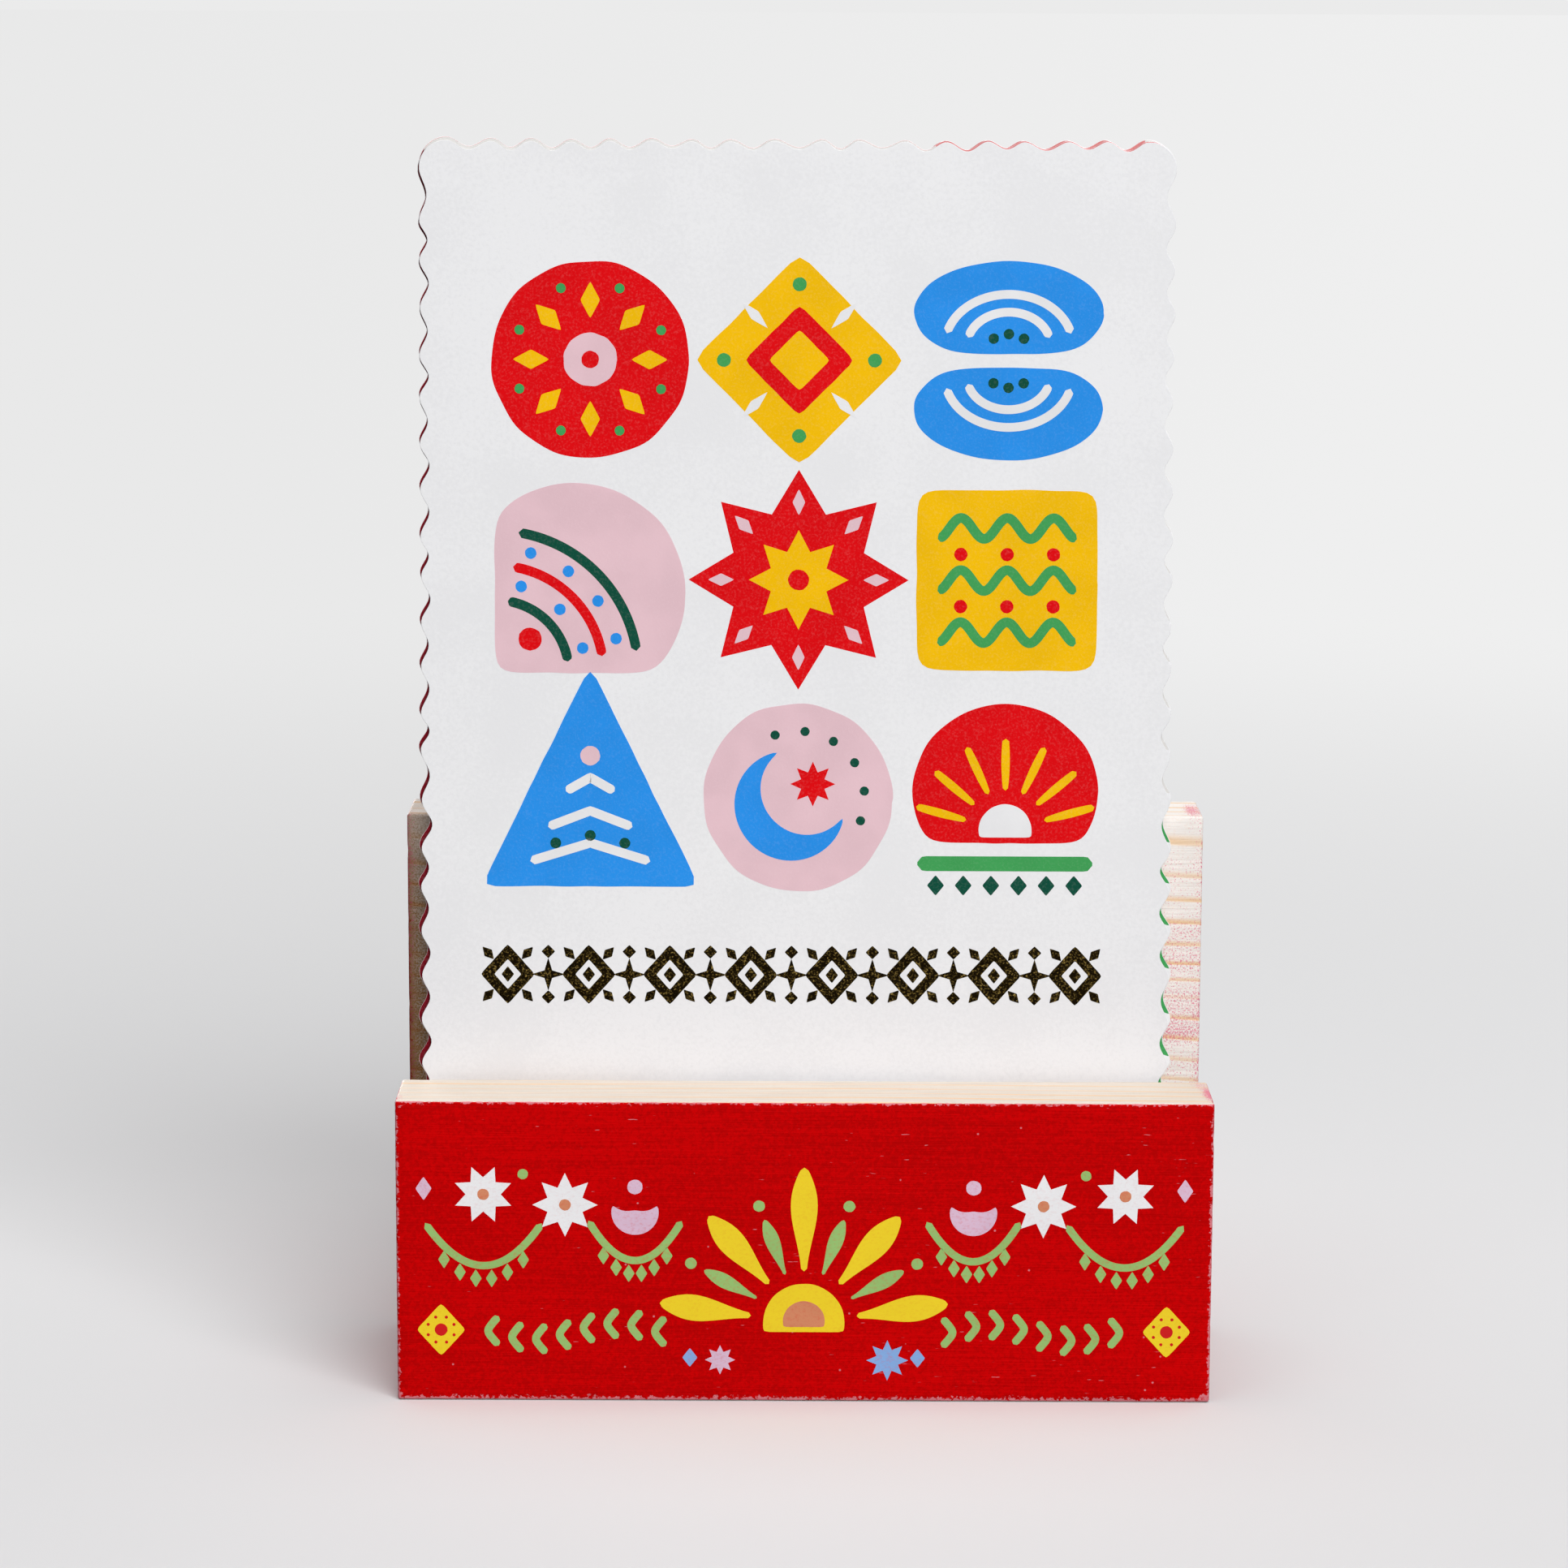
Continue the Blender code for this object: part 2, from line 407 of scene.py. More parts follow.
def dot(size, seed=0.0):
    """A small round dot that isn't quite a circle."""
    return hand_cut(disc=size / 2, seed=seed, rough=0.05, count=28)


def diamond(width, height, seed=0.0, softness=14):
    """A lozenge with softened corners. Its four cuts stand square to its sides."""
    slope = math.degrees(math.atan2(width, height))
    distance = width * height / 2 / math.hypot(width, height)
    directions = (slope, 180 - slope, 180 + slope, -slope)
    return hand_cut([(d, distance) for d in directions], softness=softness, seed=seed, count=64)


def star(points, outer, inner, turn=90.0):
    """A star with straight edges. Between a tip and the next notch, the radius follows the line
    that joins them, written in polar form."""
    gap = math.pi / points

    def radius(angle):
        along = np.abs((angle + gap) % (2 * gap) - gap)
        rise = outer * np.sin(along) + inner * np.sin(gap - along)
        return outer * inner * math.sin(gap) / rise

    return turned(polar(radius, 12 * points), turn)


def arc(radius, start, end, count=40, centre=(0.0, 0.0)):
    """Points along a circle's arc, from start to end in degrees."""
    angle = np.radians(np.linspace(start, end, count))
    points = [centre[0] + radius * np.cos(angle), centre[1] + radius * np.sin(angle)]
    return np.column_stack(points)


def moon_width(widest, count):
    """Widths along a crescent: half a sine wave, which leaves its tips a little blunt."""
    return widest * np.sin(np.linspace(0.0, np.pi, count)) + 0.3


def level_line(reach, count, height=0.0):
    """A straight line of count points across, from -reach to reach at one height."""
    return np.column_stack([np.linspace(-reach, reach, count), np.full(count, height)])


def wave(length, height, waves, count=90):
    """A sine wave along the across axis, about its middle."""
    along = np.linspace(-0.5, 0.5, count)
    return np.column_stack([along * length, height / 2 * np.cos(2 * np.pi * waves * along)])


# Materials


def add_node(tree, kind, sockets=(), **settings):
    """Adds one shader node. Its sockets are given in order as a list, or by name or number. A node,
    or a (node, output), is linked to its socket, and anything else is the socket's own value.
    settings are the node's own properties."""
    made = tree.nodes.new(f"ShaderNode{kind}")
    for key, value in settings.items():
        setattr(made, key, value)
    for key, value in sockets.items() if isinstance(sockets, dict) else enumerate(sockets):
        source, output = value if isinstance(value, tuple) else (value, 0)
        if isinstance(source, bpy.types.Node):
            tree.links.new(source.outputs[output], made.inputs[key])
        else:
            made.inputs[key].default_value = value
    return made


def start_material(name):
    """A new empty node material, and the function that adds nodes to it."""
    material = bpy.data.materials.new(name)
    material.use_nodes = True
    material.node_tree.nodes.clear()
    return material, partial(add_node, material.node_tree)


def pattern(node, scale=1.0, stretch=(1.0, 1.0, 1.0), detail=1.0, roughness=0.5):
    """Fractal noise with scale in waves per millimetre. It reads Object coordinates in millimetres,
    and stretch makes it longer one way."""
    place = node("TexCoord")
    mapping = node("Mapping", {"Vector": (place, "Object"), "Scale": [s / MM for s in stretch]})
    looks = {"Scale": scale, "Detail": detail, "Roughness": roughness}
    return node("TexNoise", {"Vector": mapping, **looks})


def tone(colour, share=0.0):
    """A linear colour with its alpha, moved by a share towards white, or towards black if the share
    is negative."""
    level = 1.0 if share > 0 else 0.0
    return [c + (level - c) * abs(share) for c in colour] + [1.0]


def card_material(looks):
    """Uncoated card stock. Pressed wood fibres give it a matt, faintly mottled face. Single fibres
    are a few hundredths of a millimetre wide and wouldn't show, so they are drawn as clumps about
    0.6 mm wide, in clouds of 20 mm. The card's lower part, down by the stand, is made a little
    darker: a painted shade."""
    material, node = start_material("uncoated_card_stock")
    fibres = pattern(node, 1.6, detail=3.0, roughness=0.6)
    clouds = pattern(node, 0.05, detail=2.0)
    spread = node("Math", [fibres, clouds], operation="MULTIPLY")
    shade = node("MapRange", [spread, 0.15, 0.35], **SOFT_STEP)
    faces = {0: shade, 6: tone(looks.card, -0.035), 7: tone(looks.card, 0.1)}
    colour = node("Mix", faces, data_type="RGBA")
    height = node("SeparateXYZ", [(node("TexCoord"), "Object")])
    # Painted shade: the card's colour darkens below 95 mm above the floor, fully below 45 mm.
    lower_shade_mask = node("MapRange", [(height, "Z"), 45.0 * MM, 95.0 * MM, 1.0, 0.0], **SOFT_STEP)
    with_lower_shade = {0: lower_shade_mask, 6: (colour, 2), 7: tone(looks.card_tone)}
    colour = node("Mix", with_lower_shade, data_type="RGBA", blend_type="MULTIPLY")
    bump = node("Bump", {"Height": fibres, "Distance": 0.00003, "Strength": 0.6})
    finish = {"Base Color": (colour, 2), "Normal": bump, "Roughness": 0.62}
    shader = node("BsdfPrincipled", {**finish, "Specular IOR Level": 0.3})
    node("OutputMaterial", {"Surface": shader})
    return material


def ink_material(name, colour, mottle=0.10, below=None):
    """Printing ink on an uncoated or wooden surface. It sinks in unevenly, so it carries soft darker
    clouds and fine flecks, which are paler on the card. On the board they show some of the colour
    below, and run a little with the wood's grain. The flecks are drawn about 0.4 mm wide, which is
    coarser than real ones, so that they show."""
    material, node = start_material(name)
    stretch = (0.7, 1.0, 1.0) if below else (1.0, 1.0, 1.0)
    fine = pattern(node, 2.4, stretch, detail=3.0, roughness=0.65)
    clouds = pattern(node, 0.12, stretch, detail=2.0)
    fleck = node("MapRange", [fine, 0.46, 0.72], **SOFT_STEP)
    cloud = node("MapRange", [clouds, 0.3, 0.7], **SOFT_STEP)
    tones = {0: cloud, 6: tone(colour, -0.7 * mottle), 7: tone(colour)}
    base = node("Mix", tones, data_type="RGBA")
    worn = node("Math", [fleck, 2.2 * mottle], operation="MULTIPLY")
    under = tone(below) if below else tone(colour, 0.15)
    flecked = node("Mix", {0: worn, 6: (base, 2), 7: under}, data_type="RGBA")
    bump = node("Bump", {"Height": fine, "Distance": 0.00003, "Strength": 0.5})
    finish = {"Base Color": (flecked, 2), "Normal": bump, "Roughness": 0.55}
    shader = node("BsdfPrincipled", {**finish, "Specular IOR Level": 0.35 if below else 0.05})
    node("OutputMaterial", {"Surface": shader})
    return material


def foil_material(looks):
    """Hot-stamped metal foil in dark gold, a mirror with fine creases that are drawn as a bump. Its
    colour is partly the foil's own dark gold and partly a painted reflection of a dark room, with
    painted gold glints where the crease pattern is high. The creases are drawn about 0.4 mm apart,
    which is coarser than real ones, so that they show."""
    material, node = start_material("hot_stamped_dark_gold_foil")
    creases = pattern(node, 2.4, (1.0, 1.0, 1.2), detail=4.0, roughness=0.75)
    # Painted glints and painted dark reflection: the colour itself makes the gold specks.
    painted_glints = node("MapRange", [creases, 0.51, 0.72], **SOFT_STEP)
    painted_reflections = {0: painted_glints, 6: tone(looks.foil_dark), 7: tone(looks.foil_light)}
    colour = node("Mix", painted_reflections, data_type="RGBA")
    bump = node("Bump", {"Height": creases, "Distance": 0.00008, "Strength": 0.5})
    finish = {"Base Color": (colour, 2), "Normal": bump, "Roughness": 0.34}
    shader = node("BsdfPrincipled", {**finish, "Metallic": 1.0})
    node("OutputMaterial", {"Surface": shader})
    return material


def pine_colour(node, looks, pale, heart, turn):
    """Planed pine. The growth rings are shells round the tree's heart, which lies outside the
    board, so they cut its faces in bands: a soft rise through early wood and a thin orange line
    of late wood. Slow noise along the board bends them, fine fibres run its whole length, and small
    pores dot it. Real fibres are a few hundredths of a millimetre wide. They are drawn about 0.4 mm
    wide, and the pores about 0.3 mm, so that both show."""
    place = node("TexCoord")
    angles = [0.0, math.radians(turn), 0.0]
    centred = {"Vector": (place, "Object"), "Location": list(heart), "Rotation": angles}
    flat = node("VectorMath", [node("Mapping", centred), [0.0, 1.0, 1.0]], operation="MULTIPLY")
    radius = node("VectorMath", [flat], operation="LENGTH")
    slow = pattern(node, stretch=(0.007, 0.02, 0.02), detail=2.0)
    bent = node("Math", [slow, 0.010, (radius, "Value")], operation="MULTIPLY_ADD")
    rings = node("Math", [bent, looks.ring_spacing], operation="DIVIDE")
    uneven = pattern(node, stretch=(0.002, 0.06, 0.06))
    rings = node("Math", [uneven, 0.8, rings], operation="MULTIPLY_ADD")
    phase = node("Math", [rings], operation="FRACT")
    rise = node("MapRange", [phase, 0.64, 0.88], **SOFT_STEP)
    fall = node("MapRange", [phase, 0.92, 1.0, 1.0, 0.0], **SOFT_STEP)
    line = node("Math", [rise, fall], operation="MULTIPLY")
    fibres = pattern(node, 2.6, (0.03, 1.0, 1.0), detail=3.0, roughness=0.6)
    fibre = node("MapRange", [fibres, 0.3, 0.75], **SOFT_STEP)
    early = node("Mix", {0: fibre, 6: tone(pale, 0.15), 7: tone(pale, -0.10)}, data_type="RGBA")
    strength = pattern(node, stretch=(0.02, 0.2, 0.2))
    visible = node("MapRange", [strength, 0.30, 0.62, 0.35, 1.0], **SOFT_STEP)
    line = node("Math", [line, visible], operation="MULTIPLY")
    late = tone(looks.late_wood)
    wood = node("Mix", {0: line, 6: (early, 2), 7: late}, data_type="RGBA")
    dots = pattern(node, 3.4, (0.6, 1.0, 1.0), detail=2.0, roughness=0.7)
    pores = node("MapRange", [dots, 0.50, 0.68, 0.0, 0.14], **SOFT_STEP)
    dotted = {0: pores, 6: (wood, 2), 7: late}
    return node("Mix", dotted, data_type="RGBA", blend_type="MULTIPLY"), fibre, line


def board_material(name, looks, pale, heart, turn):
    """Pine with matt red paint on some faces. The mesh says where paint is meant to be and how far
    the nearest edge is. Along edges the paint is chipped, it has short pale scratches with the
    grain, and a thin overspray of it reaches onto the bare faces. A brown painted shade darkens
    wood and paint alike where the mesh marks it: the back board's left end, in the cards' shadow.
    The paint's mottling is drawn about 0.5 mm wide and the droplets of overspray about 0.3 mm,
    which is coarser than real ones, so that they show."""
    material, node = start_material(name)
    wood, fibre, line = pine_colour(node, looks, pale, heart, turn)
    fine = pattern(node, 1.9, detail=3.0, roughness=0.6)
    streaks = pattern(node, stretch=(0.035, 1.0, 0.8), detail=4.0, roughness=0.6)
    shade = node("Math", [streaks, 0.45, fine], operation="MULTIPLY_ADD")
    broad = pattern(node, stretch=(0.016, 0.04, 0.04))
    shade = node("Math", [broad, 0.35, shade], operation="MULTIPLY_ADD")
    depth = node("MapRange", [shade, 0.72, 1.08], **SOFT_STEP)
    paints = {0: depth, 6: tone(looks.paint_dark), 7: tone(looks.paint)}
    paint = node("Mix", paints, data_type="RGBA")

    # Wear: scratches in patches of about 20 mm, small specks in cells of 5 mm, and chips that reach in
    # from the edge by a ragged width of up to 0.9 mm.
    patches = pattern(node, stretch=(0.05, 0.05, 0.08))
    scratched = pattern(node, stretch=(0.32, 1.0, 2.6), detail=2.0)
    scratched = node("Math", [patches, 0.16, scratched], operation="MULTIPLY_ADD")
    scratches = node("MapRange", [scratched, 0.80, 0.85], **SOFT_STEP)
    place = node("Mapping", {"Vector": (node("TexCoord"), "Object"), "Scale": [1 / MM] * 3})
    cells = node("TexVoronoi", {"Vector": place, "Scale": 0.20})
    specks = node("MapRange", [(cells, "Distance"), 0.022, 0.048, 1.0, 0.0], **SOFT_STEP)
    edge, stray, meant, painted_shade_amount = (
        (node("Attribute", attribute_name=title), "Fac")
        for title in ("edge_mm", "overspray", "paint", "stain")
    )
    ragged = pattern(node, 1.3, detail=4.0, roughness=0.7)
    reach = node("MapRange", [ragged, 0.35, 0.75, 0.05, 0.90], **SOFT_STEP)
    margin = node("Math", [reach, edge], operation="SUBTRACT")
    chips = node("MapRange", [margin, 0.0, 0.12], **SOFT_STEP)
    marks = node("Math", [scratches, specks], operation="MAXIMUM")
    marks = node("Math", [marks, chips], operation="MAXIMUM")
    marks = node("Math", [marks, 0.8], operation="MULTIPLY")
    worn = node("Mix", {0: marks, 6: (paint, 2), 7: tone(looks.paint_worn)}, data_type="RGBA")

    # Overspray: fine grains in slow blots, where the mesh says that stray paint came.
    stipple = pattern(node, 3.0, detail=2.0, roughness=0.8)
    blots = pattern(node, stretch=(0.05, 0.1, 0.22))
    cover = node("Math", [blots, 0.30, stray], operation="MULTIPLY_ADD")
    cover = node("Math", [stipple, 1.8, cover], operation="MULTIPLY_ADD")
    dusted = node("MapRange", [cover, 1.38, 1.54, 0.0, 0.85], **SOFT_STEP)
    bare = node("Mix", {0: dusted, 6: (wood, 2), 7: tone(looks.overspray)}, data_type="RGBA")

    frayed = node("MapRange", [ragged, 0.2, 0.8, -0.22, 0.22], **SOFT_STEP)
    meant = node("Math", [meant, frayed], operation="ADD")
    painted = node("MapRange", [meant, 0.47, 0.55], **SOFT_STEP)
    colour = node("Mix", {0: painted, 6: (bare, 2), 7: (worn, 2)}, data_type="RGBA")
    uneven = node("MapRange", [stipple, 0.35, 0.65, 1.3, 0.7], **SOFT_STEP)
    # Painted shade: brown multiplied over wood and paint where the mesh marks it.
    stain = node("Math", [painted_shade_amount, uneven], operation="MULTIPLY", use_clamp=True)
    with_painted_shade = {0: stain, 6: (colour, 2), 7: tone(looks.stained_wood)}
    colour = node("Mix", with_painted_shade, data_type="RGBA", blend_type="MULTIPLY")

    relief = node("Math", [streaks, marks], operation="SUBTRACT")
    relief = node("Math", [relief, fibre], operation="ADD")
    relief = node("Math", [relief, line], operation="SUBTRACT")
    finish = {
        "Base Color": (colour, 2),
        "Roughness": node("MapRange", [fine, 0.2, 0.8, 0.48, 0.66], **SOFT_STEP),
        "Specular IOR Level": node("MapRange", [painted, 0.0, 1.0, 0.25, 0.03], **SOFT_STEP),
        "Normal": node("Bump", {"Height": relief, "Distance": 0.00006, "Strength": 0.5}),
    }
    node("OutputMaterial", {"Surface": node("BsdfPrincipled", finish)})
    return material


# The stand


def edge_dense(low, high, radius, step):
    """Places along one side of a board: close together in the two rounded ends, and about a step
    apart between them."""
    ends = np.linspace(0.0, radius, 6)[:-1]
    middle = np.linspace(low + radius, high - radius, max(2, int((high - low) / step)))
    return np.concatenate([low + ends, middle, high - ends[::-1]])


def board_surface(low, high, radius, step=0.0015):
    """A box with rounded edges, as six grids sewn together. Each point of the plain box is pushed
    to one radius from the nearest point of a smaller box inside it. Returns points, quads and the
    direction that each point was pushed in."""
    low, high = np.array(low), np.array(high)
    grids, quads, total = [], [], 0
    for axis in range(3):
        one, two = (axis + 1) % 3, (axis + 2) % 3
        u, v = np.meshgrid(
            edge_dense(low[one], high[one], radius, step),
            edge_dense(low[two], high[two], radius, step),
            indexing="ij",
        )
        for level in (low[axis], high[axis]):
            face = np.empty((u.size, 3))
            face[:, axis] = level
            face[:, one] = u.ravel()
            face[:, two] = v.ravel()
            grids.append(face)
            quads.append(strip_faces(u.shape[0], u.shape[1], total, closed=False))
            total += u.size
    points = np.vstack(grids)
    keys = np.round(points * 1e7).astype(np.int64)
    _, first, sewn = np.unique(keys, axis=0, return_index=True, return_inverse=True)
    points = points[first]
    quads = sewn.ravel()[np.vstack(quads)]
    core = np.clip(points, low + radius, high - radius)
    push = points - core
    push /= np.linalg.norm(push, axis=1)[:, None]
    return core + push * radius, quads, push


def worn_board(name, node, material, painted_sides, blots, looks):
    """Builds one board over its node. The edges carry shallow dents: an unevenness that fades away
    from the edge. Four attributes go with it: the distance to the nearest edge, how much of each
    point faces a painted side, how much stray paint reached it, and how much painted shade lies on
    it. Each blot adds to one of these, or takes from it where its strength is negative: it has a
    middle, three reaches and a strength, and fades with the distance squared."""
    low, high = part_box(node)
    points, quads, push = board_surface(low, high, looks.edge_radius)
    inside = np.minimum(points - np.array(low), np.array(high) - points)
    edge = np.sort(inside, axis=1)[:, 1]
    along = (points[:, 0] + points[:, 1] * 1.3 + points[:, 2]) / MM
    seed = float(len(name))
    dents = np.maximum(wobble(along * 0.9, points[:, 2] / MM, seed), 0.0) ** 2 * 2.2
    dents = dents + 0.35 * np.abs(wobble(along * 3.7, 0.0, seed + 2.0))
    dents = dents * looks.edge_wear * np.exp(-edge / (0.8 * MM))
    points = points - push * dents[:, None]
    board = make_object(name, points, quads.tolist(), material, smooth=True)

    facing = [np.maximum(push[:, axis] * sign, 0.0) ** 2 for axis, sign in painted_sides]
    paint = np.clip(sum(facing), 0.0, 1.0)
    layers = {"edge_mm": edge / MM, "paint": paint}
    layers["overspray"] = layers["stain"] = np.zeros(len(points))
    for title, middle, reach, strength in blots:
        away = ((points / MM - middle) / reach) ** 2
        fade = abs(strength) * np.exp(-away.sum(axis=1))
        more, less = np.maximum(layers[title], fade), layers[title] * (1.0 - fade)
        layers[title] = more if strength > 0 else less
    for title, values in layers.items():
        attribute = board.data.attributes.new(title, "FLOAT", "POINT")
        attribute.data.foreach_set("value", values.astype(np.float32))
    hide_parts(node)
    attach(board, "stand")
    return board


def rail_place(points):
    """Puts a drawing on the front board: across is X from the board's middle, up is its height."""
    low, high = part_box("front_board")
    across = (low.x + high.x) / 2 + points[:, 0] * MM
    return np.column_stack([across, low.y - points[:, 2] * MM, low.z + points[:, 1] * MM])


def rail_half(sheets, side):
    """One half of the front board's border, drawn on the right and mirrored on the left."""

    def at(outline, x, y):
        return outline * (side, 1.0) + (side * x, y)

    # Two green swags, each a parabola between its ends, with beads hanging from it.
    for start, end, sag, height in ((21.0, 37.0, 7.0, 32.0), (45.0, 65.0, 7.5, 31.5)):
        share = np.linspace(0.0, 1.0, 50)
        drop = 4 * sag * share * (1 - share)
        path = np.column_stack([start + (end - start) * share, height - drop])
        sheets["green"].ribbon(path * (side, 1.0), 1.3)
        for number, bead in enumerate(np.linspace(0.16, 0.84, 6)):
            x = start + (end - start) * bead
            y = height - 4 * sag * bead * (1 - bead)
            hanging = diamond(2.0, 3.2, seed=number)
            sheets["green"].plate(at(hanging, x, y - 2.4))
    # White eight-pointed stars hang between the swags, each with an orange dot.
    for number, (x, y, size) in enumerate(((41.0, 34.8, 5.6), (55.0, 36.6, 5.2))):
        sheets["white"].plate(at(star(8, size, size * 0.58, turn=22.5 * number), x, y))
        sheets["orange"].plate(at(dot(2.0, seed=number), x, y), layer=1)
    # A lilac crescent with a dot above it stands inside the inner swag.
    crescent = arc(3.9, 195.0, 345.0, centre=(29.0, 35.6))
    sheets["lilac"].ribbon(crescent * (side, 1.0), moon_width(4.0, len(crescent)))
    sheets["lilac"].plate(at(dot(2.6, seed=5.0), 29.0, 38.0))
    sheets["green"].plate(at(dot(1.8, seed=8.0), 48.2, 40.2))
    sheets["lilac"].plate(at(diamond(2.8, 4.2, seed=8.0), 65.2, 37.6))
    # A row of chevrons runs outwards along the foot of the board, each a hyperbola's tip.
    rise = np.linspace(2.6, -2.6, 25)
    chevron = np.column_stack([1.2 - 0.9 * np.sqrt(rise**2 + 0.45), rise])
    for number in range(8):
        place = (25.0 + number * 4.1, 12.4 + 1.4 * math.sin(number * 0.9))
        sheets["green"].ribbon((chevron + place) * (side, 1.0), 1.35)
    # A yellow lozenge with a red eye and a ring of dots closes the row.
    sheets["yellow"].plate(at(diamond(8.4, 9.4, seed=6.0), 62.4, 12.6))
    sheets["red"].plate(at(dot(2.2, seed=7.0), 62.4, 12.6), layer=1)
    for angle in range(0, 360, 45):
        away = spoke(2.4, angle + 22.5) + (62.4, 12.6)
        sheets["red"].plate(at(dot(0.55, seed=angle), *away), layer=1)


def rail_middle(sheets):
    """The middle of the front board's border: a half sun with tapering rays and beads."""
    centre = np.array([0.0, 14.0])
    sun = hand_cut([(-90, 1.6)], disc=7.0, softness=14, seed=1.0)
    sheets["yellow"].plate(sun + centre)
    eye = hand_cut([(-90, 1.0)], disc=3.6, softness=12, seed=2.0)
    sheets["orange"].plate(eye + centre + (0.0, 0.3), layer=1)
    share = np.linspace(0.0, 1.0, 40)
    width = 1.0 + 3.6 * np.sin(np.pi * share**1.5)
    inner, lengths = 9.2, (25.0, 19.5, 25.0, 19.5, 27.5, 19.5, 25.0, 19.5, 25.0)
    for number, outer in enumerate(lengths):
        direction = spoke(1.0, 8 + 20.5 * number)
        path = centre + direction * (inner + (outer - inner) * share)[:, None]
        if number % 2 == 0:
            sheets["yellow"].ribbon(path, width)
        else:
            sheets["green"].ribbon(path, width * 0.55)
            sheets["green"].plate(dot(2.0, seed=number) + centre + direction * (outer + 2.6))
    sheets["blue"].plate(star(8, 3.6, 2.0, turn=0.0) + (14.4, 7.4))
    sheets["lilac"].plate(star(8, 2.6, 1.5, turn=0.0) + (-14.4, 7.4))
    for side in (-1, 1):
        sheets["blue"].plate(diamond(2.6, 3.4, seed=3.0) + (side * 19.6, 7.8))


# The cards


def card_frame(node):
    """Where a card stands: its middle, the directions across, up and out of its face, and its
    width, height and thickness in millimetres. The way up is the way it lifts. Its height and
    thickness follow from its box, which they fill by the lean's sine and cosine."""
    joint = next(j for j in frame["joints"] if j["child"] == node)
    up = np.array(joint["axis"], float)
    up /= np.linalg.norm(up)
    out = np.array([0.0, -up[2], up[1]])
    low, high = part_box(node)
    middle = (np.array(low) + np.array(high)) / 2
    size = np.array(high) - np.array(low)
    sine, cosine = up[1], up[2]
    spread = cosine**2 - sine**2
    height = (cosine * size[2] - sine * size[1]) / spread
    thickness = (cosine * size[1] - sine * size[2]) / spread
    return middle, up, out, size[0] / MM, height / MM, thickness / MM


def card_slip(number):
    """How far one card lies from true in the pack, in millimetres and degrees. The first two month
    cards show along the cover's edges as thin slivers, so their slips are chosen."""
    if number < len(CHOSEN_SLIPS):
        return CHOSEN_SLIPS[number]
    return np.random.default_rng(number).uniform(-1.0, 1.0, 3) * SLIP_REACH


def card_place(node, number):
    """Returns a function that puts (across, up, out) in millimetres on a card's front face."""
    middle, up, out, _, _, thickness = card_frame(node)
    shift_x, shift_y, turn = card_slip(number)

    def place(points):
        flat = turned(points[:, :2], turn) + (shift_x, shift_y)
        rise = (points[:, 2] + thickness / 2)[:, None] * out
        across = np.array([1.0, 0.0, 0.0])
        return middle + (flat[:, :1] * across + flat[:, 1:] * up + rise) * MM

    return place


def die_side(length, waves, depth, seed):
    """One side of the die, as (along, inset): a cosine between every two crests, with the measured
    waves stretched to fit. Its depth and its crests' line waver a little, as on a hand-bent blade."""
    crests = np.concatenate([[0.0], np.cumsum(waves)]) * length / sum(waves)
    step = (np.arange(len(waves) * WAVE_POINTS) + 0.5) / WAVE_POINTS
    along = np.interp(step, np.arange(len(crests)), crests)
    deep = depth * (0.92 + 0.22 * wobble(step * 0.8, 0.0, seed + 3.0))
    drift = 0.30 * np.clip(wobble(step * 0.35, 0.0, seed + 5.0) + 0.2, 0.0, 1.0)
    fade = np.clip(np.minimum(along, length - along) / 4.0, 0.0, 1.0)
    inset = deep * (1 - np.cos(2 * np.pi * step)) / 2
    return along, inset + drift * fade


def die_outline(width, height, looks):
    """The outline that every card is cut to, anticlockwise about the card's middle: four wavy
    sides joined by quarter circles. The bottom repeats the top, because it isn't seen."""
    radius, depth = looks.corner_radius / MM, looks.scallop_depth / MM
    sides = (
        (width, height, TOP_WAVES),
        (height, width, RIGHT_WAVES[::-1]),
        (width, height, TOP_WAVES[::-1]),
        (height, width, LEFT_WAVES),
    )
    parts = []
    for turn, (size, other, waves) in enumerate(sides):
        length = size - 2 * radius
        along, inset = die_side(length, waves, depth, seed=turn * 2.0)
        side = np.column_stack([along - length / 2, inset - other / 2])
        corner = arc(radius, -90.0, 0.0, CORNER_POINTS + 2, (length / 2, radius - other / 2))[1:-1]
        parts.append(turned(np.vstack([side, corner]), 90.0 * turn))
    return np.vstack(parts)


def outline_sides(outline):
    """The right, the top and the left side of the die's outline. Of the corner between the top and
    the left side, two thirds go with the top."""
    counts = [len(waves) * WAVE_POINTS for waves in (TOP_WAVES, RIGHT_WAVES, TOP_WAVES, LEFT_WAVES)]
    starts = np.concatenate([[0], np.cumsum(np.array(counts) + CORNER_POINTS)])
    split = CORNER_POINTS * 2 // 3
    right = outline[starts[1] : starts[1] + counts[1]]
    top = outline[starts[2] : starts[2] + counts[2] + split + 1]
    left = outline[starts[3] - CORNER_POINTS + split : starts[3] + counts[3]]
    return right, top, left


